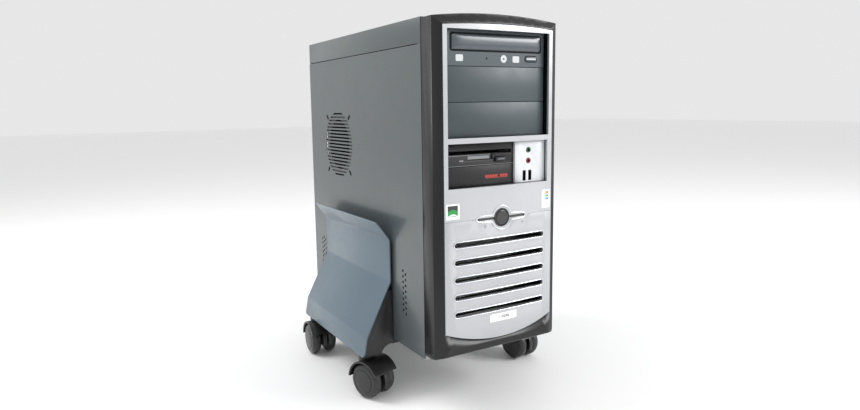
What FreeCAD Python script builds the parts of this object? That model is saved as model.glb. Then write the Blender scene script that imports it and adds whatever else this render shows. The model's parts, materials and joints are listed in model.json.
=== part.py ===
"""A desktop computer tower held in a wheeled floor stand.

The tower is drawn in its own frame: X to the right as seen from the front, Y from the front plane of
the fascia towards the back, Z up from the underside of the case. The stand is drawn from the floor up.
Every finished sub-part then gets the placement that puts both in one frame: origin on the floor, in
the middle of the whole object. Millimetres throughout.
"""
import FreeCAD, Part
import math
import operator
import os
import Sketcher

os.makedirs("parts", exist_ok=True)
doc = FreeCAD.newDocument("computer_tower")
V = FreeCAD.Vector

# ---------------------------------------------------------------- driving dimensions
DIMS = [
    # the case
    ("case_w", 188, "width over the side panels"),
    ("case_tall", 420, "underside to top cover"),
    ("case_d", 397, "fascia plane to rear panel"),
    ("skin", 1, "outer sheet thickness"),
    ("frame_t", 1, "chassis sheet thickness"),
    ("cover_drop", 31.5, "top cover's side skirts"),
    ("seam", 1, "groove between cover and side panel"),
    ("seam_stop", 7, "closed front end of that groove"),
    ("gap", 0.3, "clearance between pieces that lie together"),
    ("flange", 12, "bent flanges of the chassis sheets"),
    ("lip_w", 13, "side panel's bent rear edge"),
    ("foot_r", 11, "case foot radius"),
    ("foot_tall", 4, "case foot height"),
    ("proud", 6, "what stands out behind the rear panel"),
    # the moulded front
    ("bezel_d", 31, "fascia plane to the bezel's back edge"),
    ("bevel_d", 7, "depth of the dark bevel round the front"),
    ("bevel_w", 11.3, "width of that bevel"),
    ("bezel_wall", 3, "moulding wall"),
    ("bezel_corner", 12.5, "outer corner radius of the front"),
    ("crown", 6, "rise of the arched top edge"),
    ("chin_rise", 10, "rise of the bezel's underside from back to front"),
    ("shoulder_drop", 1.7, "ends of that arch below the top cover"),
    ("fascia_arch", 3, "rise of the fascia's top edge"),
    ("bulge", 3, "how far the fascia's middle stands forward"),
    ("fascia_w", 165.4, "width of the silver fascia"),
    ("fascia_t", 3, "fascia wall"),
    ("fascia_top", 408, "top corners of the fascia"),
    ("split_z", 177.5, "seam between upper and lower fascia"),
    ("grille_z", 23.3, "lowest point of the grille panel"),
    ("grille_rise", 16.7, "rise of its bottom arc at the ends"),
    # bays
    ("bay_low", 277, "bottom of the three large bays"),
    ("bay_pitch", 42.5, "large bay pitch"),
    ("bay_w", 148.5, "large bay face width"),
    ("bay_margin", 2.75, "fascia opening beside a bay face"),
    ("recess", 7.5, "bay faces behind the fascia plane"),
    ("face_t", 5, "drive bezel thickness"),
    ("small_low", 217, "bottom of the small bays"),
    ("small_top", 270.5, "top of the small bays"),
    ("floppy_low", 242.3, "line between blank and floppy drive"),
    ("small_w", 100.5, "small bay face width"),
    # drives
    ("drive_w", 146, "large drive width"),
    ("drive_slack", 1.2, "large bay pitch over a drive's height"),
    ("drive_d", 172, "large drive length"),
    ("tray_w", 133.5, "disc tray door width"),
    ("tray_up", 19.5, "tray door above the floor of its bay"),
    ("tray_tall", 17.3, "tray door height"),
    ("disc_r", 60.5, "disc well radius"),
    ("floppy_d", 140, "small drive length"),
    ("disk_slot", 4.8, "floppy slot height"),
    ("cage_d", 116, "large drive cage, behind the bezel"),
    ("hdd_tall", 26.1, "hard drive height"),
    ("hdd_low", 158, "hard drive's underside"),
    # power button and front sockets
    ("button_r", 10, "power button radius"),
    ("button_z", 177, "power button height"),
    ("button_dome", 2, "rounding of the button's front edge"),
    ("button_out", 1, "button in front of the fascia's middle"),
    ("collar_t", 1.2, "wall of the ring round the button"),
    ("wing_gap", 3, "button to light slot"),
    ("wing_w", 23, "light slot length beside the button"),
    ("wing_t", 2.6, "light slot height"),
    ("io_left", 24, "front socket panel left edge"),
    ("io_right", 75.2, "front socket panel right edge"),
    ("jack_r", 1.8, "audio socket bore radius"),
    ("jack_x", 48, "audio sockets"),
    # grille slots
    ("slot_w", 139, "grille slot length"),
    ("slot_tall", 6.5, "grille slot height"),
    ("slot_low", 61.6, "lowest grille slot"),
    ("slot_pitch", 21.7, "grille slot pitch"),
    # side vent
    ("vent_back", 112, "middle of the round side vent to the rear face"),
    ("vent_z", 259.5, "middle of the round side vent above the underside"),
    ("vent_r", 50, "round side vent radius"),
    ("vent_pitch", 5.2, "side vent slot pitch"),
    ("vent_slot", 2.6, "side vent slot height"),
    ("duct_r", 40, "air duct outer radius"),
    ("duct_len", 92, "air duct length"),
    ("fan92_pitch", 82.5, "screw spacing of a 92 mm fan"),
    ("fan80_pitch", 71.5, "screw spacing of an 80 mm fan"),
    ("fan_hole_r", 2.25, "fan screw hole radius"),
    ("dot_r", 2, "perforation radius"),
    ("dot_pitch", 7.6, "perforation pitch"),
    # power supply
    ("psu_w", 150, "power supply width"),
    ("psu_tall", 86, "power supply height"),
    ("psu_d", 140, "power supply depth"),
    ("rotor_r", 37, "80 mm fan rotor tip radius"),
    # boards
    ("board_x", 72, "component face of the main board"),
    ("board_t", 1.6, "board thickness"),
    ("board_side", 244, "main board side"),
    ("board_low", 62, "main board's lower edge"),
    ("standoff", 5.4, "board to tray"),
    ("slot_step", 20.32, "expansion slot pitch"),
    ("sink_side", 74, "processor heat sink side"),
    ("sink_tall", 32, "processor heat sink height"),
    ("cpu_fan_d", 15, "processor fan depth"),
    ("cpu_rotor_r", 33, "processor fan rotor radius"),
    # stand
    ("plate_front", 112, "side plate's front edge, from the fascia plane"),
    ("plate_len", 222, "side plate length"),
    ("plate_t", 2.2, "side plate sheet, measured sideways"),
    ("plate_gap", 3, "side plate to case at the waist"),
    ("waist_low", 82, "lower bend of the waist, above the underside"),
    ("waist_high", 139, "upper bend of the waist, above the underside"),
    ("lip_top", 165, "top edge of the plate, above the underside"),
    ("lip_out", 19, "how far the top lip leans out"),
    ("knee_z", 10, "knee above the underside"),
    ("knee_out", 37, "knee, out from the waist"),
    ("skirt_out", 5, "skirt's lower edge, out from the knee"),
    ("skirt_drop", 17, "skirt's lower edge, below the underside"),
    ("bend_r", 8, "bend radius of the plate"),
    ("plate_corner", 6, "rounded corners of the plate"),
    ("plate_slack", 0.6, "base to plate and to case"),
    ("beam_t", 2.4, "cross strap thickness"),
    ("base_w", 40, "cross strap and gusset width"),
    ("beam_gap", 0.2, "between the two sliding straps"),
    ("ledge", 20, "ledge under the edge of the case"),
    ("gusset_top", 70, "top of the gusset above the underside"),
    ("gusset_lean", 5, "gusset top behind the plate"),
    ("leg_in", 15, "inner face of a gusset's leg to the caster stem"),
    ("arch_in", 20, "mid-point of the leg's arch to the caster stem"),
    ("arch_drop", 3.5, "mid-point of that arch below the straps"),
    ("foot_in", 4, "gusset's flat foot beside the case"),
    ("socket_spare", 1.5, "caster socket beyond the stem"),
    ("knob_r", 13, "lock knob radius"),
    ("knob_tall", 11, "lock knob height"),
    ("knob_shank", 3, "lock knob shank radius"),
    ("caster_x", 128, "caster stem from the middle"),
    ("caster_front", 132, "front casters from the fascia plane"),
    ("caster_back", 316, "rear casters from the fascia plane"),
    ("wheel_r", 24, "caster wheel radius"),
    ("wheel_t", 16.5, "one wheel of the twin"),
    ("web_t", 6, "caster web between the wheels"),
    ("hood_t", 3.5, "caster hood outside its wheels"),
    ("hood_over", 4.5, "caster hood to the skirt above it"),
    ("trail", 13, "caster wheel behind its stem"),
    ("stem_r", 5, "caster stem radius"),
    ("stem_len", 20, "caster stem length in its socket"),
    ("axle_r", 3, "caster axle radius"),
    ("run_fit", 0.08, "radial clearance of shafts and stems"),
    ("width_travel", 40, "how far the stand opens"),
]
SHEET = "dims"


class Size:
    """A length worked out from the sheet: its number, and the expression that features are bound to."""

    SIGNS = {"+": operator.add, "-": operator.sub, "*": operator.mul, "/": operator.truediv}

    def __init__(self, value, text):
        self.value = float(value)
        self.text = text

    @staticmethod
    def of(other):
        return other if isinstance(other, Size) else Size(other, "({})".format(other))

    @staticmethod
    def join(left, sign, right):
        left, right = Size.of(left), Size.of(right)
        value = Size.SIGNS[sign](left.value, right.value)
        return Size(value, "({} {} {})".format(left.text, sign, right.text))

    def __add__(self, other):
        return Size.join(self, "+", other)

    def __radd__(self, other):
        return Size.join(other, "+", self)

    def __sub__(self, other):
        return Size.join(self, "-", other)

    def __rsub__(self, other):
        return Size.join(other, "-", self)

    def __mul__(self, other):
        return Size.join(self, "*", other)

    def __rmul__(self, other):
        return Size.join(other, "*", self)

    def __truediv__(self, other):
        return Size.join(self, "/", other)

    def __neg__(self):
        return Size.join(0, "-", self)

    def __float__(self):
        return self.value


class Dims:
    """The sheet's sizes by name: d.case_w is a Size bound to the cell with that alias."""

    def __init__(self, rows):
        self.sheet = doc.addObject("Spreadsheet::Sheet", SHEET)
        for row, (alias, value, note) in enumerate(rows, 1):
            self.sheet.set("A{}".format(row), alias)
            self.sheet.set("B{}".format(row), str(value))
            self.sheet.set("C{}".format(row), note)
            self.sheet.setAlias("B{}".format(row), alias)
        doc.recompute()
        for alias, _value, _note in rows:
            setattr(self, alias, Size(getattr(self.sheet, alias), "{}.{}".format(SHEET, alias)))


d = Dims(DIMS)
nodes = []


# ---------------------------------------------------------------- building blocks
def bind(thing, prop, size):
    """Binds one property to the sheet, or to a plain number."""
    size = Size.of(size)
    thing.setExpression(prop, size.text)


def put(thing, x, y, z, rotation=None):
    """Places a feature by sizes; the rotation, if any, is fixed."""
    if rotation is not None:
        thing.Placement = FreeCAD.Placement(V(0, 0, 0), rotation)
    bind(thing, "Placement.Base.x", x)
    bind(thing, "Placement.Base.y", y)
    bind(thing, "Placement.Base.z", z)
    return thing


def block(x, y, z):
    """A block between two sizes along each axis."""
    box = doc.addObject("Part::Box", "block")
    bind(box, "Length", Size.join(x[1], "-", x[0]))
    bind(box, "Width", Size.join(y[1], "-", y[0]))
    bind(box, "Height", Size.join(z[1], "-", z[0]))
    return put(box, x[0], y[0], z[0])


TURN = {
    "X": FreeCAD.Rotation(V(0, 1, 0), 90),
    "Y": FreeCAD.Rotation(V(1, 0, 0), -90),
    "Z": FreeCAD.Rotation(),
}


def rod(axis, radius, start, length):
    """A cylinder along +axis from the point start."""
    cylinder = doc.addObject("Part::Cylinder", "rod")
    bind(cylinder, "Radius", radius)
    bind(cylinder, "Height", length)
    return put(cylinder, start[0], start[1], start[2], TURN[axis])


def cut(base, tools):
    """base less the tools, which may overlap each other."""
    feature = doc.addObject("Part::Cut", "cut")
    feature.Base = base
    feature.Tool = tools[0] if len(tools) == 1 else fuse(tools)
    return feature


def fuse(pieces):
    feature = doc.addObject("Part::MultiFuse", "fuse")
    feature.Shapes = pieces
    return feature


def group(pieces):
    """Separate solids that share one node."""
    feature = doc.addObject("Part::Compound", "group")
    feature.Links = pieces
    return feature


def coded(shape, name="coded"):
    """A shape made by Part's own functions, where no feature fits."""
    feature = doc.addObject("Part::Feature", name)
    feature.Shape = shape
    return feature


def tube(axis, outer, inner, start, length):
    """A ring or pipe along +axis."""
    return cut(rod(axis, outer, start, length), [rod(axis, inner, start, length)])


def mid_y():
    """The whole object's middle, from the fascia plane."""
    return (d.case_d + d.proud - d.bulge - d.button_out) / 2


def finish(feature, label, base_z=None, turn=None, at=None):
    """Names a sub-part and gives it its place in the whole object.

    at and turn are for a piece drawn about its own axis: where it goes, and how it is turned.
    """
    if feature.TypeId in ("Part::Box", "Part::Cylinder"):
        feature = group([feature])      # a bare primitive keeps its own place
    feature.Label = label
    x, y, z = at or (0, 0, 0)
    if base_z is None:
        base_z = lift
    put(feature, x, Size.join(y, "-", mid_y()), Size.join(z, "+", base_z), turn)
    nodes.append(feature)
    return feature


def on_tower(feature, label, turn=None, at=None):
    return finish(feature, label, lift, turn, at)


def on_floor(feature, label, turn=None, at=None):
    return finish(feature, label, 0, turn, at)


# ---------------------------------------------------------------- bodies drawn from sketches
def body_named(name):
    return doc.addObject("PartDesign::Body", name)


def sketch_on(body, role, offset=None):
    """A sketch on one of the body's own planes, moved along the plane's normal."""
    sketch = body.newObject("Sketcher::SketchObject", "sketch")
    plane = [f for f in body.Origin.OriginFeatures if f.Role == role][0]
    sketch.AttachmentSupport = [(plane, "")]
    sketch.MapMode = "FlatFace"
    if offset is not None:
        bind(sketch, "AttachmentOffset.Base.z", offset)
    return sketch


def pin(sketch, geometry, end, point):
    """Ties one end of a sketch line to sizes from the sketch's origin."""
    for kind, size in (("DistanceX", point[0]), ("DistanceY", point[1])):
        size = Size.of(size)
        index = sketch.addConstraint(Sketcher.Constraint(kind, -1, 1, geometry, end, size.value))
        sketch.setExpression("Constraints[{}]".format(index), size.text)


def outline(sketch, corners):
    """A closed outline. A corner is (u, v); (u, v, via_u, via_v) leaves it by an arc through via."""
    ends = []
    spots = [V(float(c[0]), float(c[1]), 0) for c in corners]
    for i, corner in enumerate(corners):
        a, b = spots[i], spots[(i + 1) % len(corners)]
        if len(corner) == 2:
            index = sketch.addGeometry(Part.LineSegment(a, b), False)
            ends.append((index, 1, 2))
        else:
            via = V(float(corner[2]), float(corner[3]), 0)
            # a sketch arc always runs anticlockwise
            forward = (via - a).cross(b - via).z > 0
            curve = Part.ArcOfCircle(a, via, b) if forward else Part.ArcOfCircle(b, via, a)
            index = sketch.addGeometry(curve, False)
            ends.append((index, 1, 2) if forward else (index, 2, 1))
            helper = sketch.addGeometry(Part.Point(via), True)
            pin(sketch, helper, 1, corner[2:4])
            sketch.addConstraint(Sketcher.Constraint("PointOnObject", helper, 1, index))
    for i, (index, start, _end) in enumerate(ends):
        before = ends[i - 1]
        sketch.addConstraint(Sketcher.Constraint("Coincident", before[0], before[2], index, start))
        pin(sketch, index, start, corners[i][:2])
    return sketch


def rectangle(sketch, u, v):
    return outline(sketch, [(u[0], v[0]), (u[1], v[0]), (u[1], v[1]), (u[0], v[1])])


def circle(sketch, u, v, radius):
    radius = Size.of(radius)
    spot = V(float(u), float(v), 0)
    index = sketch.addGeometry(Part.Circle(spot, V(0, 0, 1), radius.value), False)
    number = sketch.addConstraint(Sketcher.Constraint("Radius", index, radius.value))
    sketch.setExpression("Constraints[{}]".format(number), radius.text)
    pin(sketch, index, 3, (u, v))
    return sketch


def pad(body, sketch, length, reverse=False, both=False):
    feature = body.newObject("PartDesign::Pad", "pad")
    feature.Profile = sketch
    bind(feature, "Length", length)
    feature.Reversed = reverse
    feature.Midplane = both
    doc.recompute()
    return feature


def pocket(body, sketch, length, reverse=False, both=False):
    """A pocket that must take something away."""
    before = body.Shape.Volume
    feature = body.newObject("PartDesign::Pocket", "pocket")
    feature.Profile = sketch
    bind(feature, "Length", length)
    feature.Reversed = reverse
    feature.Midplane = both
    doc.recompute()
    if not body.Shape.Volume < before:
        raise RuntimeError("a pocket of {} cuts nothing".format(body.Name))
    return feature


def axis_of(body, role):
    return [f for f in body.Origin.OriginFeatures if f.Role == role][0]


def around(body, feature, role, count):
    """Repeats a feature round an axis of the body."""
    pattern = body.newObject("PartDesign::PolarPattern", "around")
    pattern.Originals = [feature]
    pattern.Axis = (axis_of(body, role), [""])
    pattern.Angle = 360
    pattern.Occurrences = count
    body.Tip = pattern
    doc.recompute()
    return pattern


def along(body, feature, role, pitch, count):
    """Repeats a feature along an axis of the body, at a pitch."""
    pattern = body.newObject("PartDesign::LinearPattern", "along")
    pattern.Originals = [feature]
    pattern.Direction = (axis_of(body, role), [""])
    bind(pattern, "Length", pitch * (count - 1))
    pattern.Occurrences = count
    body.Tip = pattern
    doc.recompute()
    return pattern


def round_edges(body, base, radius, wanted):
    """Rounds the edges of base that the test wanted(edge) picks."""
    names = ["Edge{}".format(i) for i, e in enumerate(base.Shape.Edges, 1) if wanted(e)]
    if not names:
        raise RuntimeError("no edge of {} to round".format(body.Name))
    feature = body.newObject("PartDesign::Fillet", "round")
    feature.Base = (base, names)
    bind(feature, "Radius", radius)
    body.Tip = feature
    doc.recompute()
    return feature


def runs_along(edge, direction):
    """True for a straight edge parallel to direction."""
    ends = [v.Point for v in edge.Vertexes]
    if len(ends) != 2 or not isinstance(edge.Curve, Part.Line):
        return False
    return (ends[1] - ends[0]).normalize().cross(direction).Length < 1e-6


# ---------------------------------------------------------------- lines shared by many pieces
side = d.case_w / 2                     # outer face of a side panel
inner = side - d.skin                   # its inner face
frame_x = inner - d.gap                 # chassis side, just inside the panels
seam_z = d.case_tall - d.cover_drop     # top of the side panels
back = d.case_d                         # outer face of the rear panel
rear_in = back - d.frame_t              # its inner face
vent_y = back - d.vent_back             # middle of the round side vent
face_y = d.recess                       # the bay faces' plane
chassis_y = d.bezel_d + d.gap           # front face of the chassis
half_bay = d.bay_w / 2
half_open = half_bay + d.bay_margin
bay_top = d.bay_low + 3 * d.bay_pitch
small_left = -half_bay
small_right = small_left + d.small_w
fascia_half = d.fascia_w / 2
hood_r = d.wheel_r + d.hood_t
skirt_z = d.wheel_r + hood_r + d.hood_over      # lower edge of the stand's plates
lift = skirt_z + d.skirt_drop                   # underside of the case above the floor
roof_in = d.case_tall - d.skin
psu_low = roof_in - d.frame_t - d.gap - d.psu_tall
tray_x = d.board_x + d.board_t + d.standoff
drive_y = face_y + d.face_t
drive_tall = d.bay_pitch - d.drive_slack
top_bay = bay_top - d.bay_pitch         # floor of the highest large bay
drive_low = top_bay + d.drive_slack / 2
tray_low = top_bay + d.tray_up
tray_high = tray_low + d.tray_tall
floppy_tall = 25.4
floppy_body_low = d.floppy_low + 1.0
cage_wall = d.drive_w / 2 + d.gap
small_mid = small_left + d.small_w / 2
small_half = 50.8
shield_x = (d.board_x - 41, d.board_x + 3.45)
shield_z = (150, 308.75)
slot_x = (-38, d.board_x - 2)
slot_mid_low = 71
slot_count = 4
rear_fan = (-46, 262)


def slot_z(index):
    """Middle height of an expansion slot, counted from the lowest."""
    return slot_mid_low + d.slot_step * index


tray_mid = 0.75
eject_x, eject_z = (44.3, 62.5), (top_bay + 7, top_bay + 13.3)
floppy_eject_x, floppy_eject_z = (-3.3, 13.0), (d.floppy_low + 4.1, d.floppy_low + 9.3)
usb_x, usb_w, usb_z = (38.9, 48.1), 5.1, (219.2, 232.5)
JACKS = (258.4, 244.7)
SLOTS = 5
THUMB_Z = (60, 350)
inlet_x, inlet_z = (36.0, 63.6), (346.0, 365.6)
switch_x, switch_z = (40.0, 59.0), (376.0, 398.0)
psu_fan = (-22.0, 375.0)
FACING = FreeCAD.Rotation(V(1, 0, 0), 90)          # drawn up, faces the front
SIDEWAYS = FreeCAD.Rotation(V(0, 1, 0), -90)       # drawn up, faces the left side


# ---------------------------------------------------------------- chassis and covers
def chassis_floor():
    """Bottom sheet with upturned sides."""
    span_y = (chassis_y, rear_in - d.gap)
    sheet = block((-frame_x, frame_x), span_y, (0, d.frame_t))
    lips = [block((x, x + d.frame_t), span_y, (0, d.flange)) for x in (-frame_x, frame_x - d.frame_t)]
    on_tower(fuse([sheet] + lips), "chassis_floor")


def case_feet():
    """Four low feet, standing beside the straps of the stand."""
    spots = [(x, y) for x in (-side + 26, side - 26) for y in (58, back - 32)]
    feet = [rod("Z", d.foot_r, (x, y, -d.foot_tall), d.foot_tall) for x, y in spots]
    on_tower(group(feet), "case_feet")


def rear_panel():
    """Rear sheet with the supply, port, card and fan openings."""
    sheet = block((-frame_x, frame_x), (rear_in, back), (0, roof_in - d.gap))
    through = (rear_in - 1, back + 1)
    margin = 4
    psu_hole = block((-d.psu_w / 2 + margin, d.psu_w / 2 - margin), through,
                     (psu_low + margin, psu_low + d.psu_tall - margin))
    port_hole = block(shield_x, through, shield_z)
    holes = [psu_hole, port_hole]
    for i in range(slot_count):
        holes.append(block(slot_x, through, (slot_z(i) - 12.5, slot_z(i) + 1)))
    holes.append(rod("Y", 2, (-side + 8, rear_in - 1, 40), 4))
    for x in (-0.5, 0.5):
        for z in (-0.5, 0.5):
            start = (rear_fan[0] + d.fan80_pitch * x, rear_in - 1, rear_fan[1] + d.fan80_pitch * z)
            holes.append(rod("Y", d.fan_hole_r, start, 4))
    # the fan grille: rings of arc slots
    for radius in (9, 16, 23, 30, 37):
        ring = tube("Y", radius + 2.2, radius - 2.2, (rear_fan[0], rear_in - 1, rear_fan[1]), 3)
        bars = [block((rear_fan[0] - 1.6, rear_fan[0] + 1.6), (rear_in - 2, back + 2), (200, 320)),
                block((-90, 0), (rear_in - 2, back + 2), (rear_fan[1] - 1.6, rear_fan[1] + 1.6))]
        holes.append(cut(ring, bars))
    on_tower(cut(sheet, holes), "rear_panel")


def front_frame():
    """Front chassis sheet behind the bezel, open where drives and sockets pass."""
    y = (chassis_y, chassis_y + d.frame_t)
    through = (chassis_y - 1, chassis_y + 3)
    half = frame_x - d.frame_t - d.gap
    sheet = block((-half, half), y, (d.frame_t + d.gap, roof_in - d.gap))
    bays = block((-cage_wall - 1.3, cage_wall + 1.3), through, (d.bay_low, bay_top))
    small = block((small_mid - small_half - 1.6, small_mid + small_half + 1.6), through,
                  (d.small_low, d.small_top))
    sockets = block((d.io_left + 6, d.io_right), through, (d.small_low + 1, d.small_top - 4))
    switch = block((-13, 13), through, (d.button_z - 13, d.button_z + 13))
    air = [block((-60, 60), through, (d.slot_low + d.slot_pitch * i - 6, d.slot_low + d.slot_pitch * i + 6))
           for i in range(4)]
    on_tower(cut(sheet, [bays, small, sockets, switch] + air), "front_frame")


def board_tray():
    """Upright sheet that carries the main board on standoffs."""
    y = (chassis_y + d.frame_t + d.gap, rear_in - d.gap)
    z = (d.frame_t + d.gap, roof_in - d.frame_t - 2 * d.gap)
    sheet = block((tray_x, tray_x + d.frame_t), y, z)
    flange_x = (tray_x, frame_x - d.frame_t - d.gap)
    flanges = [block(flange_x, y, (low, low + d.frame_t)) for low in (z[0] + 14, z[1] - 22)]
    posts = []
    for y_post in (back - 238, back - 120, back - 10):
        for z_post in (d.board_low + 8, d.board_low + 122, d.board_low + 236):
            posts.append(rod("X", 3, (d.board_x + d.board_t, y_post, z_post), d.standoff))
    on_tower(fuse([sheet] + flanges + posts), "motherboard_tray")


def top_cover():
    """Top sheet with the side skirts that end at the groove."""
    y = (chassis_y, back)
    roof = block((-side, side), y, (roof_in, d.case_tall))
    skirts = [block(x, y, (seam_z + d.seam, d.case_tall)) for x in ((-side, -inner), (inner, side))]
    on_tower(fuse([roof] + skirts), "top_cover")


def side_sheet(sign):
    """A side panel with a bent rear edge and the tab that closes the front end of the groove."""
    def span(a, b):
        return (a, b) if sign > 0 else (-b, -a)

    y = (chassis_y, back + d.gap + d.skin)
    z = (d.frame_t, seam_z)
    plate = block(span(inner, side), y, z)
    tab = block(span(inner, side), (chassis_y, chassis_y + d.seam_stop), (seam_z, seam_z + d.seam - 0.1))
    lip = block(span(side - d.lip_w, side), (back + d.gap, back + d.gap + d.skin), z)
    return fuse([plate, tab, lip])


def vent_tools():
    """Slots of the round side vent, the four screw slots round it and the two fields of dots."""
    x_start = -side - 1
    disc = rod("X", d.vent_r, (x_start, vent_y, d.vent_z), 3)
    bars = []
    rows = math.floor(2 * d.vent_r.value / d.vent_pitch.value)
    for i in range(rows):
        mid = d.vent_z + d.vent_pitch * (i - (rows - 1) / 2)
        bars.append(block((x_start, x_start + 3), (vent_y - d.vent_r, vent_y + d.vent_r),
                          (mid - d.vent_slot / 2, mid + d.vent_slot / 2)))
    slots = doc.addObject("Part::Common", "vent")
    slots.Base = fuse(bars)
    slots.Tool = disc
    return [slots] + screw_slots(x_start) + [dots(x_start)]


def screw_slots(x_start):
    """Four short slanted slots that take the screws of a 92 mm fan."""
    made = []
    reach = 2.0
    for sy in (-1, 1):
        for sz in (-1, 1):
            lobes = []
            for shift in (-reach, reach):
                y = vent_y + sy * (d.fan92_pitch / 2 + shift)
                z = d.vent_z + sz * (d.fan92_pitch / 2 + shift)
                lobes.append(rod("X", d.fan_hole_r, (x_start, y, z), 3))
            # The bar between the lobes lies at 45 degrees.
            bar = doc.addObject("Part::Box", "block")
            bar.Length = 3
            bar.Width = 2 * reach * math.sqrt(2)
            bind(bar, "Height", d.fan_hole_r * 2)
            slope = 45 if sy == sz else -45
            turned = FreeCAD.Rotation(V(1, 0, 0), slope)
            shift = turned.multVec(V(0, -reach * math.sqrt(2), -float(d.fan_hole_r)))
            put(bar, x_start, vent_y + sy * d.fan92_pitch / 2 + shift.y,
                d.vent_z + sz * d.fan92_pitch / 2 + shift.z, turned)
            made += lobes + [bar]
    return made


def dots(x_start):
    """Staggered round perforations low on the panel, near its back and front edges."""
    pitch = d.dot_pitch.value
    fields = [(back.value - 58, 5, 44.0, 8), (78.0, 2, 46.0, 8)]
    holes = []
    for first_y, columns, low, rows in fields:
        for column in range(columns):
            for row in range(rows):
                z = low + pitch * (row + 0.5 * (column % 2))
                base = V(x_start.value, first_y + column * pitch * 0.9, z)
                holes.append(Part.makeCylinder(d.dot_r.value, 3, base, V(1, 0, 0)))
    return coded(Part.makeCompound(holes), "dots")


def side_panels():
    on_tower(cut(side_sheet(-1), vent_tools()), "left_side_panel")
    on_tower(side_sheet(1), "right_side_panel")


def air_duct():
    """Round air guide inside the left panel's vent, on a square flange with the fan's screw pitch."""
    x0 = -inner + d.gap
    half = d.fan92_pitch / 2 + 5
    flange = block((x0, x0 + 2), (vent_y - half, vent_y + half), (d.vent_z - half, d.vent_z + half))
    pipe = rod("X", d.duct_r, (x0, vent_y, d.vent_z), d.duct_len)
    bore = rod("X", d.duct_r - 2, (x0 - 1, vent_y, d.vent_z), d.duct_len + 2)
    holes = [rod("X", d.fan_hole_r, (x0 - 1, vent_y + d.fan92_pitch * sy, d.vent_z + d.fan92_pitch * sz), 4)
             for sy in (-0.5, 0.5) for sz in (-0.5, 0.5)]
    on_tower(cut(fuse([flange, pipe]), [bore] + holes), "air_duct")


def drive_cages():
    """Two sheet metal cages for the large and the small drives."""
    y = (chassis_y + d.frame_t, d.bezel_d + d.cage_d)
    walls = [block((x, x + d.frame_t), y, (d.bay_low, bay_top + 4)) for x in (-cage_wall - 1, cage_wall)]
    shelf = block((-cage_wall - 1, cage_wall + 1), y, (d.bay_low - 1, d.bay_low))
    on_tower(fuse(walls + [shelf]), "large_drive_cage")

    y = (chassis_y + d.frame_t, d.bezel_d + d.floppy_d)
    low = d.hdd_low - 2
    left, right = small_mid - small_half - d.gap, small_mid + small_half + d.gap
    z = (low, d.bay_low - 1)
    walls = [block((left - 1, left), y, z), block((right, right + 1), y, z)]
    shelf = block((left - 1, right + 1), y, (low - 1, low))
    on_tower(fuse(walls + [shelf]), "small_drive_cage")


# ---------------------------------------------------------------- the moulded front
BEFORE = 10.0   # a sketch plane well in front of the fascia, from which pockets run back


def front_outline(sketch, inset, drop):
    """The front's outline: arched top, round lower corners, pulled in by inset and drop."""
    half = side - inset
    low = Size.of(drop)
    shoulder = d.case_tall - d.shoulder_drop - drop
    turn = d.bezel_corner - inset
    bend = turn * (1 - math.sqrt(0.5))
    return outline(sketch, [
        (-half + turn, low),
        (half - turn, low, half - bend, low + bend),
        (half, low + turn),
        (half, shoulder, 0, shoulder + d.crown),
        (-half, shoulder),
        (-half, low + turn, -half + bend, low + bend),
    ])


def fascia_plan(sketch, half, front, deep):
    """Plan of a fascia piece: a bowed front between the two edges and a flat back."""
    return outline(sketch, [
        (-half, deep), (-half, front, 0, front - d.bulge), (half, front), (half, deep),
    ])


def front_bezel():
    """Dark front shell: bevelled round the fascia, open to the bays, the sockets and the grille."""
    body = body_named("bezel_body")
    rim = front_outline(sketch_on(body, "XZ_Plane", -d.bevel_d), 0, 0)
    pad(body, rim, d.bezel_d - d.bevel_d, reverse=True)
    step = 0.3
    bevel = body.newObject("PartDesign::Pad", "bevel")
    bevel.Profile = front_outline(sketch_on(body, "XZ_Plane", -d.bevel_d), step, step)
    bind(bevel, "Length", d.bevel_d)
    bevel.TaperAngle = -math.degrees(math.atan2(d.bevel_w.value - step, d.bevel_d.value))
    doc.recompute()
    under = outline(sketch_on(body, "YZ_Plane"), [
        (d.bezel_d, 0), (-BEFORE, d.chin_rise * (1 + BEFORE / d.bezel_d.value)), (-BEFORE, -BEFORE),
        (d.bezel_d, -BEFORE)])
    pocket(body, under, 2 * side + 2 * BEFORE, both=True)
    wall = d.bezel_wall
    half = side - wall
    hollow = rectangle(sketch_on(body, "XZ_Plane", -d.bezel_d), (-half, half),
                       (d.bezel_corner, d.case_tall - wall - d.shoulder_drop))
    pocket(body, hollow, d.bezel_d - d.bevel_d - wall, reverse=True)
    seat = fascia_half + d.gap
    seat_top = d.fascia_top + d.gap
    seat_low = d.grille_z + d.grille_rise - d.gap
    recess = outline(sketch_on(body, "XZ_Plane", BEFORE), [
        (-seat, seat_low, 0, d.grille_z - d.gap), (seat, seat_low),
        (seat, seat_top, 0, seat_top + d.fascia_arch), (-seat, seat_top)])
    pocket(body, recess, BEFORE + d.fascia_t + d.gap)
    far = d.bezel_d + 2 * BEFORE
    opened = [((-half_open - d.gap, half_open + d.gap), (d.bay_low, bay_top)),
              ((-half_open - d.gap, d.io_right + d.gap), (d.small_low, d.small_top))]
    for u, v in opened:
        pocket(body, rectangle(sketch_on(body, "XZ_Plane", BEFORE), u, v), far)
    hole = d.button_r + d.gap + d.collar_t + d.gap
    pocket(body, circle(sketch_on(body, "XZ_Plane", BEFORE), 0, d.button_z, hole), far)
    slot = rectangle(sketch_on(body, "XZ_Plane", BEFORE), (-d.slot_w / 2, d.slot_w / 2),
                     (d.slot_low - d.slot_tall / 2, d.slot_low + d.slot_tall / 2))
    along(body, pocket(body, slot, far), "Z_Axis", d.slot_pitch, SLOTS)
    on_tower(body, "front_bezel")


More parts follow.
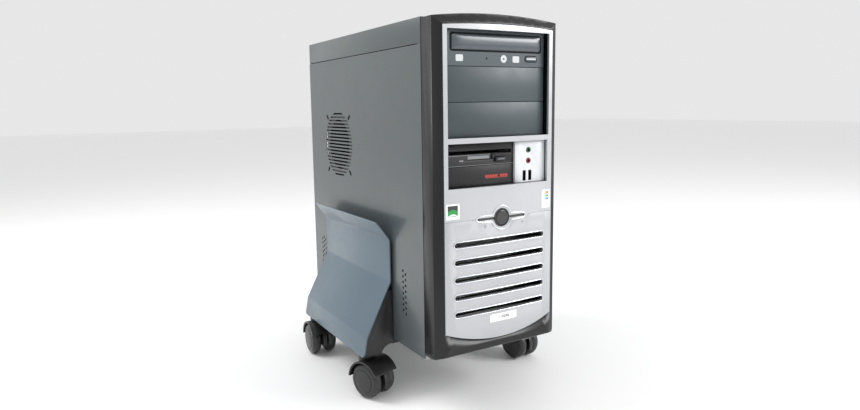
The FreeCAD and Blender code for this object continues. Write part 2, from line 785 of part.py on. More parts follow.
def rounded_slot(sketch, half, mid, tall):
    """A slot outline with round ends, lying along X."""
    reach = half - tall / 2
    return outline(sketch, [
        (-reach, mid - tall / 2), (reach, mid - tall / 2, half, mid),
        (reach, mid + tall / 2), (-reach, mid + tall / 2, -half, mid),
    ])


def upper_fascia():
    """Silver frame round the bays, down to the seam through the power button."""
    body = body_named("upper_fascia_body")
    plan = fascia_plan(sketch_on(body, "XY_Plane", d.split_z + d.gap / 2), fascia_half, 0, d.fascia_t)
    pad(body, plan, d.fascia_top + d.fascia_arch + 1 - d.split_z)
    top = d.fascia_top
    trim = outline(sketch_on(body, "XZ_Plane", BEFORE), [
        (-fascia_half - 1, top), (-fascia_half - 1, top + BEFORE), (fascia_half + 1, top + BEFORE),
        (fascia_half + 1, top, 0, top + d.fascia_arch)])
    pocket(body, trim, 2 * BEFORE)
    bays = rectangle(sketch_on(body, "XZ_Plane", BEFORE), (-half_open, half_open),
                     (d.bay_low, bay_top - 0.5))
    pocket(body, bays, 2 * BEFORE)
    small = rectangle(sketch_on(body, "XZ_Plane", BEFORE), (-half_open, d.io_right),
                      (d.small_low, d.small_top))
    pocket(body, small, 2 * BEFORE)
    button_openings(body)
    on_tower(body, "upper_fascia")


def button_openings(body):
    """The round opening of the power button and the two light slots beside it."""
    hole = circle(sketch_on(body, "XZ_Plane", BEFORE), 0, d.button_z, d.button_r + d.gap + d.collar_t + d.gap)
    pocket(body, hole, 2 * BEFORE)
    wings = rounded_slot(sketch_on(body, "XZ_Plane", BEFORE), d.button_r + d.wing_gap + d.wing_w + d.gap,
                         d.button_z, d.wing_t + 2 * d.gap)
    pocket(body, wings, 2 * BEFORE)


def lower_fascia():
    """Silver grille panel with five round-ended slots and an arched lower edge."""
    body = body_named("lower_fascia_body")
    plan = fascia_plan(sketch_on(body, "XY_Plane", d.grille_z), fascia_half, 0, d.fascia_t)
    pad(body, plan, d.split_z - d.gap / 2 - d.grille_z)
    low = d.grille_z
    trim = outline(sketch_on(body, "XZ_Plane", BEFORE), [
        (fascia_half + 1, low + d.grille_rise), (fascia_half + 1, low - BEFORE),
        (-fascia_half - 1, low - BEFORE), (-fascia_half - 1, low + d.grille_rise, 0, low)])
    pocket(body, trim, 2 * BEFORE)
    slot = rounded_slot(sketch_on(body, "XZ_Plane", BEFORE), d.slot_w / 2, d.slot_low, d.slot_tall)
    along(body, pocket(body, slot, 2 * BEFORE), "Z_Axis", d.slot_pitch, SLOTS)
    button_openings(body)
    on_tower(body, "lower_fascia")


def power_button():
    """Domed round button with its stem, and the moulded light guide round it."""
    body = body_named("button_body")
    # drawn about the Z axis, front upwards
    cap = 5
    face = pad(body, circle(sketch_on(body, "XY_Plane", -cap), 0, 0, d.button_r), cap)
    round_edges(body, face, d.button_dome, lambda e: e.CenterOfMass.z > -0.1)
    pad(body, circle(sketch_on(body, "XY_Plane", -cap), 0, 0, d.axle_r), 8, reverse=True)
    on_tower(body, "power_button", FACING, (0, -d.bulge - d.button_out, d.button_z))
    ring = tube("Y", d.button_r + d.gap + d.collar_t, d.button_r + d.gap,
                (0, -d.bulge - 0.5, d.button_z), d.bulge + d.bevel_d)
    reach = d.button_r + d.wing_gap + d.wing_w
    inside = d.button_r + d.gap + d.collar_t - 0.5
    tip = reach - d.wing_t / 2
    wings = [block(x, (-d.bulge + 0.8, d.fascia_t), (d.button_z - d.wing_t / 2, d.button_z + d.wing_t / 2))
             for x in ((-tip, -inside), (inside, tip))]
    on_tower(fuse([ring] + wings), "light_guide")


# ---------------------------------------------------------------- drives and blanks
def bay_face(low, high):
    """A plate that fills one large bay's front, less the line left round it."""
    return block((-half_bay, half_bay), (face_y, face_y + d.face_t), (low + d.gap, high - d.gap))


def optical_drive():
    """Disc drive: case, bezel, tray that slides out, and the button that opens it."""
    low, high = drive_low, drive_low + drive_tall
    half = d.drive_w / 2
    y = (drive_y + d.gap, drive_y + d.drive_d)
    shell = block((-half, half), y, (low, high))
    room = block((-half + 1, half - 1), (drive_y - 1, y[1] - 1), (low + 1, high - 1))
    works = block((-half + 8, half - 8), (drive_y + 20, y[1] - 1), (low + 1, tray_low - 3))
    case = fuse([cut(shell, [room]), works])
    on_tower(case, "optical_drive_case")

    bay = (bay_top - d.bay_pitch, bay_top)
    through = (face_y - 1, drive_y + 1)
    mouth = block((tray_mid - d.tray_w / 2 - d.gap, tray_mid + d.tray_w / 2 + d.gap), through,
                  (tray_low - d.gap, tray_high + d.gap))
    pill = block((eject_x[0] - d.gap, eject_x[1] + d.gap), through, (eject_z[0] - d.gap, eject_z[1] + d.gap))
    dot = rod("Y", 1.2, (-15.3, face_y - 1, top_bay + 9.6), 3)
    on_tower(cut(bay_face(*bay), [mouth, pill, dot]), "optical_drive_bezel")

    door = block((tray_mid - d.tray_w / 2, tray_mid + d.tray_w / 2), (face_y - 0.6, drive_y - 0.8),
                 (tray_low, tray_high))
    leaf_z = (tray_low + 1.5, tray_low + 9)
    leaf = block((tray_mid - d.tray_w / 2 + 2, tray_mid + d.tray_w / 2 - 2),
                 (drive_y - 0.8, drive_y + 150), leaf_z)
    well = rod("Z", d.disc_r, (tray_mid, drive_y + 70, leaf_z[1] - 2.5), 4)
    hole = rod("Z", 18, (tray_mid, drive_y + 70, leaf_z[0] - 1), 12)
    on_tower(fuse([door, cut(leaf, [well, hole])]), "optical_drive_tray")

    button = block(eject_x, (face_y - 0.8, drive_y + 0.5), eject_z)
    on_tower(button, "optical_eject_button")


def bay_blanks():
    """Two blank covers under the disc drive and one under the floppy drive."""
    def blank(x, low, high):
        plate = block(x, (face_y, face_y + d.bezel_wall), (low + d.gap, high - d.gap))
        clips = [block(s, (face_y + d.bezel_wall, d.bezel_d - 4), (low + 8, high - 8))
                 for s in ((x[0], x[0] + 1.5), (x[1] - 1.5, x[1]))]
        return fuse([plate] + clips)

    for i, label in enumerate(("lower_bay_blank", "middle_bay_blank")):
        low = d.bay_low + d.bay_pitch * i
        on_tower(blank((-half_bay, half_bay), low, low + d.bay_pitch), label)
    on_tower(blank((small_left, small_right), d.small_low, d.floppy_low), "small_bay_blank")


def floppy_drive():
    """Floppy drive: metal case, slotted bezel and eject button."""
    slot_low = d.floppy_low + 13.9
    finger = block((-44, -6.6), (face_y - 1, face_y + 2), (slot_low - 6.8, slot_low + 1))
    slot = block((small_left + 2.5, small_right - 4), (face_y - 1, d.bezel_d + 60),
                 (slot_low, slot_low + d.disk_slot))
    notch = block((floppy_eject_x[0] - d.gap, floppy_eject_x[1] + d.gap), (face_y - 1, drive_y + 1),
                  (floppy_eject_z[0] - d.gap, floppy_eject_z[1] + d.gap))
    face = block((small_left, small_right), (face_y, drive_y), (d.floppy_low + d.gap, d.small_top - 0.8))
    on_tower(cut(face, [slot, finger, notch]), "floppy_drive_bezel")
    case = block((small_mid - small_half, small_mid + small_half), (drive_y, drive_y + d.floppy_d),
                 (floppy_body_low, floppy_body_low + floppy_tall))
    room = block((floppy_eject_x[0] - 2, floppy_eject_x[1] + 2), (drive_y - 1, drive_y + 8),
                 (floppy_eject_z[0] - 2, floppy_eject_z[1] + 2))
    on_tower(cut(case, [slot, room]), "floppy_drive_case")
    on_tower(block(floppy_eject_x, (face_y - 2.5, drive_y + 2), floppy_eject_z), "floppy_eject_button")


def hard_drive():
    x = (small_mid - small_half, small_mid + small_half)
    top = d.hdd_low + d.hdd_tall
    body = block(x, (d.bezel_d + 12, d.bezel_d + 12 + 147), (d.hdd_low, top - 4))
    lid = block((x[0] + 4, x[1] - 4), (d.bezel_d + 16, d.bezel_d + 124), (top - 4, top))
    on_tower(fuse([body, lid]), "hard_drive")


# ---------------------------------------------------------------- front sockets
def front_sockets():
    """Sloped socket panel with two audio sockets and two upright USB sockets."""
    low, high = d.small_low + d.gap, d.small_top - d.gap
    plate = block((d.io_left + d.gap + 3, d.io_right - d.gap), (face_y - 3, face_y), (low, high))
    ramp = block((d.io_left + 2.5, d.io_left + 10), (face_y - 3, face_y + d.face_t), (low, high))
    holes = [rod("Y", d.jack_r + 1.7, (d.jack_x, -5, z), 20) for z in JACKS]
    holes += [block((x, x + usb_w), (-5, 20), usb_z) for x in usb_x]
    on_tower(cut(fuse([plate, ramp]), holes), "front_socket_panel")

    rings = []
    for z in JACKS:
        start = (d.jack_x, face_y - 3.6, z)
        rings.append(tube("Y", d.jack_r + 1.6, d.jack_r, start, 15))
    on_tower(group(rings), "audio_sockets")

    shells = []
    for x in usb_x:
        shell = block((x + 0.1, x + usb_w - 0.1), (face_y - 3, face_y + 13), (usb_z[0] + 0.1, usb_z[1] - 0.1))
        room = block((x + 0.4, x + usb_w - 0.4), (face_y - 4, face_y + 12), (usb_z[0] + 0.4, usb_z[1] - 0.4))
        tongue = block((x + 0.6, x + 2.0), (face_y - 1, face_y + 12.5), (usb_z[0] + 1.5, usb_z[1] - 1.5))
        shells.append(fuse([cut(shell, [room]), tongue]))
    holder = block((d.jack_x - 12, d.io_right - 4), (face_y + 15, face_y + 16.6),
                   (d.small_low + 1, d.small_top - 4))
    lugs = [block((x + 1, x + usb_w - 1), (face_y + 12.8, face_y + 15.2), (usb_z[0] + 2, usb_z[1] - 2))
            for x in usb_x]
    on_tower(group([fuse([holder] + lugs + shells)]), "usb_sockets")


def stickers():
    """Generic labels: one at each upper corner of the grille and one small one low on it."""
    spots = [((-81, -62), (180.6, 199.5)), ((66, 80), (182, 206)), ((-18, 24), (44, 54))]
    pieces = []
    for x, z in spots:
        middle = (x[0] + x[1]) / 2
        near = -d.bulge.value * (1 - (middle / fascia_half.value) ** 2)
        far = min(-d.bulge.value * (1 - (edge / fascia_half.value) ** 2) for edge in x)
        pieces.append(block(x, (min(near, far) - 0.35, min(near, far) - 0.05), z))
    on_tower(group(pieces), "stickers")


# ---------------------------------------------------------------- inside
def fan_rotor(label, hub_r, tip_r, deep, blades, turn, at):
    """A hub with pitched blades, drawn about the Z axis."""
    body = body_named("rotor_body")
    pad(body, circle(sketch_on(body, "XY_Plane"), 0, 0, hub_r), deep, both=True)
    cap = 2
    bore = circle(sketch_on(body, "XY_Plane", -deep / 2), 0, 0, d.axle_r + d.run_fit)
    pocket(body, bore, deep - cap, reverse=True)
    lean = deep * 0.32
    thick = 1.4
    blade = outline(sketch_on(body, "YZ_Plane", hub_r - 1.5), [
        (-lean - thick / 2, -deep * 0.42), (-lean + thick / 2, -deep * 0.42),
        (lean + thick / 2, deep * 0.42), (lean - thick / 2, deep * 0.42)])
    around(body, pad(body, blade, tip_r - hub_r + 1.5), "Z_Axis", blades)
    on_tower(body, label, turn, at)


def power_supply():
    """Supply at the top of the back: case, mains inlet, rocker switch and exhaust fan."""
    half = d.psu_w / 2
    low, high = psu_low, psu_low + d.psu_tall
    y = (rear_in - d.gap - d.psu_d, rear_in - d.gap)
    shell = block((-half, half), y, (low, high))
    room = block((-half + 1, half - 1), (y[0] + 1, y[1] - 1), (low + 1, high - 1))
    through = (y[1] - 3, y[1] + 1)
    holes = [block(inlet_x, through, inlet_z), block(switch_x, through, switch_z)]
    for radius in (10, 18, 26, 34):
        ring = tube("Y", radius + 2.4, radius - 2.4, (psu_fan[0], y[1] - 2, psu_fan[1]), 3)
        bars = [block((psu_fan[0] - 1.5, psu_fan[0] + 1.5), (y[1] - 3, y[1] + 2), (low, high)),
                block((-half, 20), (y[1] - 3, y[1] + 2), (psu_fan[1] - 1.5, psu_fan[1] + 1.5))]
        holes.append(cut(ring, bars))
    for i in range(8):
        z = low + 14 + 8 * i
        holes.append(block((-half + 14, half - 14), (y[0] - 1, y[0] + 2), (z, z + 4)))
    axle = rod("Y", d.axle_r, (psu_fan[0], y[1] - 18, psu_fan[1]), 17.5)
    hub = rod("Y", 14, (psu_fan[0], y[1] - 3, psu_fan[1]), 2.5)
    case = fuse([cut(shell, [room] + holes), axle, hub])
    fan_rotor("supply_fan_rotor", 15, d.rotor_r, 20, 7, FACING, (psu_fan[0], y[1] - 14, psu_fan[1]))

    flange = block((inlet_x[0] + 0.1, inlet_x[1] - 0.1), (y[1] - 16, y[1] + 1.5),
                   (inlet_z[0] + 0.1, inlet_z[1] - 0.1))
    socket = block((inlet_x[0] + 2, inlet_x[1] - 2), (y[1] - 14, y[1] + 2), (inlet_z[0] + 2, inlet_z[1] - 2))
    mid_x = (inlet_x[0] + inlet_x[1]) / 2
    pins = [block((mid_x + s - 1, mid_x + s + 1), (y[1] - 15, y[1] - 3), (z, z + 4))
            for s, z in ((-7, inlet_z[0] + 5), (7, inlet_z[0] + 5), (0, inlet_z[0] + 9.5))]
    on_tower(fuse([cut(flange, [socket])] + pins), "mains_inlet")

    frame = block((switch_x[0] + 0.1, switch_x[1] - 0.1), (y[1] - 12, y[1] + 1),
                  (switch_z[0] + 0.1, switch_z[1] - 0.1))
    well = block((switch_x[0] + 1, switch_x[1] - 1), (y[1] - 8, y[1] + 2), (switch_z[0] + 1, switch_z[1] - 1))
    on_tower(group([case, cut(frame, [well])]), "power_supply")
    body = body_named("rocker_body")
    # drawn in the YZ plane about the pivot: two faces that meet at a shallow angle
    reach = (switch_z[1] - switch_z[0]) / 2 - 1.6
    face = outline(sketch_on(body, "YZ_Plane"), [
        (-2.2, -reach * 0.75), (-2.2, reach * 0.75), (4.2, reach), (2.4, 0), (2.0, -reach)])
    pad(body, face, switch_x[1] - switch_x[0] - 2.6, both=True)
    on_tower(body, "mains_switch_rocker", None,
             ((switch_x[0] + switch_x[1]) / 2, y[1] - 1.8, (switch_z[0] + switch_z[1]) / 2))


def main_board():
    """Main board with its port block, shield, heat sink, fan, memory and a card in a slot."""
    y = (rear_in - d.gap - d.board_side, rear_in - d.gap)
    z = (d.board_low, d.board_low + d.board_side)
    x = (d.board_x, d.board_x + d.board_t)
    board = block(x, y, z)
    slots = [block((d.board_x - 11, d.board_x), (back - 150, back - 62), (slot_z(i) - 3.5, slot_z(i) + 3.5))
             for i in range(slot_count)]
    chips = [block((d.board_x - 7, d.board_x), (cy, cy + 35), (cz, cz + 35))
             for cy, cz in ((back - 190, 122), (back - 225, 80))]
    plug = block((d.board_x - 12, d.board_x), (y[0] + 6, y[0] + 15), (z[1] - 70, z[1] - 18))
    caps = [rod("X", 4, (d.board_x - 14, cy, cz), 14.5) for cy in (back - 56,) for cz in (210, 222, 234, 246)]
    on_tower(fuse([board] + slots + chips + [plug] + caps), "motherboard")

    ports = []
    port_y = (rear_in - 22, back + 2)
    rows = [(158, 14), (178, 30), (214, 32), (252, 16), (274, 28)]
    for low, tall in rows:
        ports.append(block((d.board_x - 16, d.board_x - 0.2), port_y, (low, low + tall)))
        ports.append(block((d.board_x - 34, d.board_x - 18), port_y, (low, low + tall)))
    carrier = block((d.board_x - 34, d.board_x - 0.2), (rear_in - 22, rear_in - 14), (156, 304))
    holes = []
    for low, tall in rows:
        for x0 in (d.board_x - 14, d.board_x - 32):
            holes.append(block((x0, x0 + 12), (back - 8, back + 3), (low + 2, low + tall - 2)))
    on_tower(cut(fuse(ports + [carrier]), holes), "rear_ports")

    shield = block((shield_x[0] + 0.2, shield_x[1] - 0.2), (rear_in, back),
                   (shield_z[0] + 0.2, shield_z[1] - 0.2))
    gaps = [block((x0 - 0.2, x0 + 16.2), (rear_in - 1, back + 1), (low - 0.2, low + tall + 0.2))
            for low, tall in rows for x0 in (d.board_x - 16, d.board_x - 34)]
    on_tower(cut(shield, gaps), "port_shield")

    half = d.sink_side / 2
    base = block((d.board_x - 9, d.board_x - 3), (vent_y - half, vent_y + half),
                 (d.vent_z - half, d.vent_z + half))
    die = block((d.board_x - 3, d.board_x), (vent_y - 17, vent_y + 17), (d.vent_z - 17, d.vent_z + 17))
    fins = [block((d.board_x - d.sink_tall, d.board_x - 9),
                  (vent_y - half + step, vent_y - half + step + 1.4),
                  (d.vent_z - half, d.vent_z + half)) for step in [5.58 * i for i in range(14)]]
    on_tower(fuse([base, die] + fins), "processor_heat_sink")

    fan_x = (d.board_x - d.sink_tall - d.cpu_fan_d, d.board_x - d.sink_tall)
    frame = block(fan_x, (vent_y - half, vent_y + half), (d.vent_z - half, d.vent_z + half))
    bore = rod("X", d.cpu_rotor_r + 1.5, (fan_x[0] - 1, vent_y, d.vent_z), d.cpu_fan_d + 2)
    hub = rod("X", 13, (fan_x[1] - 2, vent_y, d.vent_z), 2)
    axle = rod("X", d.axle_r, (fan_x[0] + 4, vent_y, d.vent_z), d.cpu_fan_d - 5)
    arms = [block((fan_x[1] - 2, fan_x[1]), (vent_y - half + 2, vent_y + half - 2),
                  (d.vent_z - 2, d.vent_z + 2)),
            block((fan_x[1] - 2, fan_x[1]), (vent_y - 2, vent_y + 2),
                  (d.vent_z - half + 2, d.vent_z + half - 2))]
    on_tower(fuse([cut(frame, [bore]), hub, axle] + arms), "processor_fan_frame")
    fan_rotor("processor_fan_rotor", 14, d.cpu_rotor_r, 10, 7, SIDEWAYS,
              (fan_x[0] + 5.5, vent_y, d.vent_z))

    sticks = []
    for i in range(2):
        stick_y = vent_y - half - 31 - 11 * i
        socket = block((d.board_x - 9, d.board_x), (stick_y, stick_y + 7), (168, 302))
        card = block((d.board_x - 34, d.board_x - 8), (stick_y + 2.4, stick_y + 4), (169, 301))
        sticks.append(fuse([socket, card]))
    on_tower(group(sticks), "memory_modules")

    card_z = slot_z(3)
    card = block((d.board_x - 95, d.board_x - 11 - d.gap), (back - 175, rear_in - 1),
                 (card_z - 0.8, card_z + 0.8))
    cooler = block((d.board_x - 78, d.board_x - 30), (back - 120, back - 60), (card_z - 12, card_z - 0.8))
    connector = block((d.board_x - 70, d.board_x - 40), (rear_in - 12, back + 5), (card_z - 11, card_z - 1))
    bracket = block((slot_x[0] - 2, slot_x[1] + 2), (rear_in - 1, rear_in - 0.1), (card_z - 14, card_z + 2.5))
    on_tower(fuse([card, cooler, connector, bracket]), "graphics_card")

    covers = [block((slot_x[0] - 2, slot_x[1] + 2), (rear_in - 1, rear_in - 0.1),
                    (slot_z(i) - 14, slot_z(i) + 2.5)) for i in range(3)]
    on_tower(group(covers), "slot_covers")


def screws():
    """Rear screws of the supply and the cards, and the two thumbscrews of the left panel."""
    heads = []
    for x, z in ((-66, psu_low + 7), (66, psu_low + 7), (-66, psu_low + 79), (60, psu_low + 79)):
        heads.append(rod("Y", 3.4, (x, back, z), 2.2))
    for z in THUMB_Z:
        heads.append(rod("Y", 3.4, (side - d.lip_w / 2, back + d.gap + d.skin, z), 2.2))
    on_tower(group(heads), "rear_screws")

    lip_y = back + d.gap + d.skin
    thumbs = []
    for z in THUMB_Z:
        thumbs.append(rod("Y", 5, (-side + d.lip_w / 2, lip_y, z), d.proud - d.gap - d.skin))
    on_tower(group(thumbs), "panel_thumbscrews")

# ---------------------------------------------------------------- the stand
plate_y = (d.plate_front, d.plate_front + d.plate_len)
base_y = [(y, y + d.base_w) for y in (d.plate_front + 2, d.plate_front + d.plate_len - d.base_w - 2)]
waist = side + d.plate_gap
skirt_x = waist + d.knee_out + d.skirt_out
base_low = lift - d.beam_t * 2 - d.beam_gap


def mirrored(corners, sign):
    """The same outline for the other side: every X changes sign."""
    if sign > 0:
        return corners
    return [(-c[0], c[1]) + ((-c[2], c[3]) if len(c) == 4 else ()) for c in corners]


def side_plate(sign, label):
    """Bent sheet that cradles one side of the case."""
    body = body_named("plate_body")
    line = [
        (waist + d.lip_out, lift + d.lip_top),
        (waist, lift + d.waist_high),
        (waist, lift + d.waist_low),
        (waist + d.knee_out, lift + d.knee_z),
        (skirt_x, skirt_z),
    ]
    outer = [(x + d.plate_t, z) for x, z in reversed(line)]
    sketch = outline(sketch_on(body, "XZ_Plane", -plate_y[0]), mirrored(line + outer, sign))
    sheet = pad(body, sketch, d.plate_len, reverse=True)
    low, high = skirt_z.value + 1, lift.value + d.lip_top.value - 1
    round_edges(body, sheet, d.bend_r, lambda e: runs_along(e, V(0, 1, 0)) and low < e.CenterOfMass.z < high)
    # the four corners, seen from the side, are round
    face = body_named("plate_face_body")
    blank = rectangle(sketch_on(face, "YZ_Plane"), plate_y, (skirt_z, lift + d.lip_top))
    slab = pad(face, blank, 2 * (skirt_x + d.plate_t) + 2 * BEFORE, both=True)
    round_edges(face, slab, d.plate_corner, lambda e: runs_along(e, V(1, 0, 0)))
    plate = doc.addObject("Part::Common", "plate")
    plate.Base = body
    plate.Tool = face
    on_floor(plate, label)


def stand_base(sign, label):
    """Half of the base: two moulded gussets behind the plate, each with a seat block and a cross strap."""
    pieces = []
    off = d.plate_slack
    face = side + off                   # the gussets' face beside the case
    for (y0, y1), pivot_y in zip(base_y, (d.caster_front, d.caster_back)):
        gusset = body_named("gusset_body")
        arch = (d.caster_x - d.arch_in, base_low - d.arch_drop)
        corners = [
            (face, base_low), (face, lift + d.gusset_top), (waist + d.gusset_lean - off, lift + d.gusset_top),
            (waist + d.knee_out - off, lift + d.knee_z), (skirt_x - off, skirt_z),
            (d.caster_x - d.leg_in, skirt_z) + arch, (side + d.foot_in, base_low),
        ]
        sketch = outline(sketch_on(gusset, "XZ_Plane", -y0), mirrored(corners, sign))
        pad(gusset, sketch, y1 - y0, reverse=True)
        socket = circle(sketch_on(gusset, "XY_Plane", skirt_z - 1), sign * d.caster_x, pivot_y,
                        d.stem_r + d.run_fit)
        pocket(gusset, socket, d.stem_len + d.socket_spare, reverse=True)

        strap = body_named("strap_body")
        upper = base_low + d.beam_t + d.beam_gap
        low = base_low if sign < 0 else upper
        far = side - d.ledge - d.gap if sign < 0 else -side + d.ledge + d.width_travel + d.gap
        bar = rectangle(sketch_on(strap, "XZ_Plane", -y0), ordered(sign * face, far), (low, low + d.beam_t))
        pad(strap, bar, y1 - y0, reverse=True)
        mid = (y0 + y1) / 2
        if sign < 0:
            reach = d.width_travel / 2 + d.knob_shank + 1
            slot = rectangle(sketch_on(strap, "XY_Plane", base_low - 1), (-reach, reach),
                             (mid - d.knob_shank - d.gap, mid + d.knob_shank + d.gap))
            pocket(strap, slot, d.beam_t + 2, reverse=True)
        else:
            hole = circle(sketch_on(strap, "XY_Plane", base_low), -d.width_travel / 2, mid,
                          d.knob_shank + d.run_fit)
            pocket(strap, hole, lift - base_low + 1, reverse=True)
        seat_z = (low + d.beam_t, lift) if sign < 0 else (base_low, upper)
        seat = block(ordered(sign * (side - d.ledge), sign * face), (y0, y1), seat_z)
        pieces += [gusset, strap, seat]
    on_floor(group(pieces), label)


def ordered(a, b):
    return (a, b) if float(a) < float(b) else (b, a)


def lock_knob(y_pair, label):
    """Star knob below the straps: its shank passes the lower strap's slot into the upper strap."""
    body = body_named("knob_body")
    pad(body, circle(sketch_on(body, "XY_Plane"), 0, 0, d.knob_r), d.knob_tall)
    notch = circle(sketch_on(body, "XY_Plane"), d.knob_r + 2, 0, 5)
    around(body, pocket(body, notch, d.knob_tall, reverse=True), "Z_Axis", 6)
    shank = circle(sketch_on(body, "XY_Plane", d.knob_tall - 1), 0, 0, d.knob_shank)
    pad(body, shank, 1 + d.gap + 2 * d.beam_t + d.beam_gap - 0.4)
    mid = (y_pair[0] + y_pair[1]) / 2
    on_floor(body, label, None, (-d.width_travel / 2, mid, base_low - d.gap - d.knob_tall))


def caster(label, x, y, yaw):
    """Swivelling twin-wheel caster: hood, web and stem in one piece, wheels and axle in another.

    Both are drawn about the stem, with the wheels behind it towards -Y, and turned by yaw.
    """
    turn = FreeCAD.Rotation(V(0, 0, 1), yaw)
    hub_y = -d.trail
    hub_z = d.wheel_r
    half_web = d.web_t / 2
    wide = half_web + 1 + d.wheel_t
    drum = rod("X", hood_r, (-wide, hub_y, hub_z), 2 * wide)
    room = rod("X", d.wheel_r + 1, (-wide - 1, hub_y, hub_z), 2 * wide + 2)
    reach = 2 * hood_r
    below = block((-wide - 1, wide + 1), (hub_y - reach, hub_y + reach), (-reach, hub_z + 2))
    tail = block((-wide - 1, wide + 1), (hub_y - reach, hub_y - hood_r + 6), (-1, hub_z + 12))
    hood = cut(drum, [room, below, tail])
    web = cut(rod("X", d.wheel_r + 1.2, (-half_web, hub_y, hub_z), d.web_t),
              [block((-wide, wide), (hub_y - reach, hub_y + reach), (-reach, hub_z - 9)),
               rod("X", d.axle_r + d.run_fit, (-wide, hub_y, hub_z), 2 * wide)])
    top = skirt_z - d.gap
    collar = rod("Z", d.stem_r + 6, (0, 0, hub_z + 12), top - hub_z - 12)
    collar = cut(collar, [rod("X", d.wheel_r + 1, (-wide - 1, hub_y, hub_z), 2 * wide + 2)])
    stem = rod("Z", d.stem_r, (0, 0, top - 1), d.stem_len + 1)
    place = (x, y, 0)
    on_floor(fuse([hood, web, collar, stem]), "caster_fork_" + label, turn, place)

    discs = []
    for start in (half_web + 1, -half_web - 1 - d.wheel_t):
        disc = rod("X", d.wheel_r, (start, hub_y, hub_z), d.wheel_t)
        discs.append(disc)
    axle = rod("X", d.axle_r, (-half_web - 2, hub_y, hub_z), d.web_t + 4)
    on_floor(fuse(discs + [axle]), "caster_wheels_" + label, turn, place)


def stand():
    side_plate(-1, "left_plate")
    side_plate(1, "right_plate")
    stand_base(-1, "left_base")
    stand_base(1, "right_base")
    lock_knob(base_y[0], "front_lock_knob")
    lock_knob(base_y[1], "rear_lock_knob")
    caster("front_left", -d.caster_x, d.caster_front, 19)
    caster("rear_left", -d.caster_x, d.caster_back, -3)
    caster("front_right", d.caster_x, d.caster_front, 6)
    caster("rear_right", d.caster_x, d.caster_back, -19)


# ---------------------------------------------------------------- build, check and write
for make in (chassis_floor, case_feet, rear_panel, front_frame, board_tray, top_cover, side_panels, air_duct,
             drive_cages, front_bezel, upper_fascia, lower_fascia, power_button, optical_drive, bay_blanks,
             floppy_drive, hard_drive, front_sockets, stickers, power_supply, main_board, screws, stand):
    make()
doc.recompute()

failed = [o.Label for o in doc.Objects if "Invalid" in o.State or "Error" in o.State]
if failed:
    raise RuntimeError("features that failed: {}".format(failed))
for node in nodes:
    if node.Shape.isNull() or not node.Shape.isValid() or not node.Shape.Solids:
        raise RuntimeError("{} has no valid solid".format(node.Label))
for node in nodes:
    node.Shape.exportStep("parts/{}.step".format(node.Label))
print(len(nodes), "sub-parts written")
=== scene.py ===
import bpy
import bmesh
import json
import math
from mathutils import Matrix, Vector


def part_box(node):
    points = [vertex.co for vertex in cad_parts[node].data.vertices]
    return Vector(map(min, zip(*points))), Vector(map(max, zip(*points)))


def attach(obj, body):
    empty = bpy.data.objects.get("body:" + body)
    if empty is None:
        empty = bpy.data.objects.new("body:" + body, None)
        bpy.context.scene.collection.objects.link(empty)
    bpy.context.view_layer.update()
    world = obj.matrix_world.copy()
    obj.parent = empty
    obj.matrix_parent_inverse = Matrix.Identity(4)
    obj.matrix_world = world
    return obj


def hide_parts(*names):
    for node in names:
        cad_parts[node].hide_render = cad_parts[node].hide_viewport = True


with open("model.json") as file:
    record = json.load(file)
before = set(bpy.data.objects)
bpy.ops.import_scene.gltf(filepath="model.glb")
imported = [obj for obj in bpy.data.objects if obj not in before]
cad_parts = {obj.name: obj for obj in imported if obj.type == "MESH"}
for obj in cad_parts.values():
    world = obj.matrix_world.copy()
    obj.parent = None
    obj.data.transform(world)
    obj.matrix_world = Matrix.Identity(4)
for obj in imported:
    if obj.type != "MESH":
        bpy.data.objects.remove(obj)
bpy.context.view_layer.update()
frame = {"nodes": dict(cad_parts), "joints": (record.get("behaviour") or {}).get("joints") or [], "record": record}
nodes = frame["nodes"]
MM = 0.001
slot_of = {part["node"]: part["material_slot"] for part in frame["record"]["subparts"]}
body_of = {node: body for body, held in frame["record"]["behaviour"]["bodies"].items() for node in held}


# ---------------------------------------------------------------- finishes
def srgb(*levels):
    """A colour given in screen levels of 0 to 255, as linear light."""
    return tuple(
        v / 12.92 if v <= 0.04045 else ((v + 0.055) / 1.055) ** 2.4 for v in (c / 255 for c in levels)
    ) + (1.0,)


class Value:
    """One shader value. Arithmetic on it adds Math nodes."""

    def __init__(self, finish, socket):
        self.finish = finish
        self.socket = socket

    def maths(self, operation, *terms):
        return self.finish.node("ShaderNodeMath", {"operation": operation}, terms)

    def __add__(self, other):
        return self.maths("ADD", self, other)

    __radd__ = __add__

    def __sub__(self, other):
        return self.maths("SUBTRACT", self, other)

    def __rsub__(self, other):
        return self.maths("SUBTRACT", other, self)

    def __mul__(self, other):
        return self.maths("MULTIPLY", self, other)

    __rmul__ = __mul__

    def __truediv__(self, other):
        return self.maths("DIVIDE", self, other)

    def __gt__(self, other):
        return self.maths("GREATER_THAN", self, other)

    def __lt__(self, other):
        return self.maths("LESS_THAN", self, other)


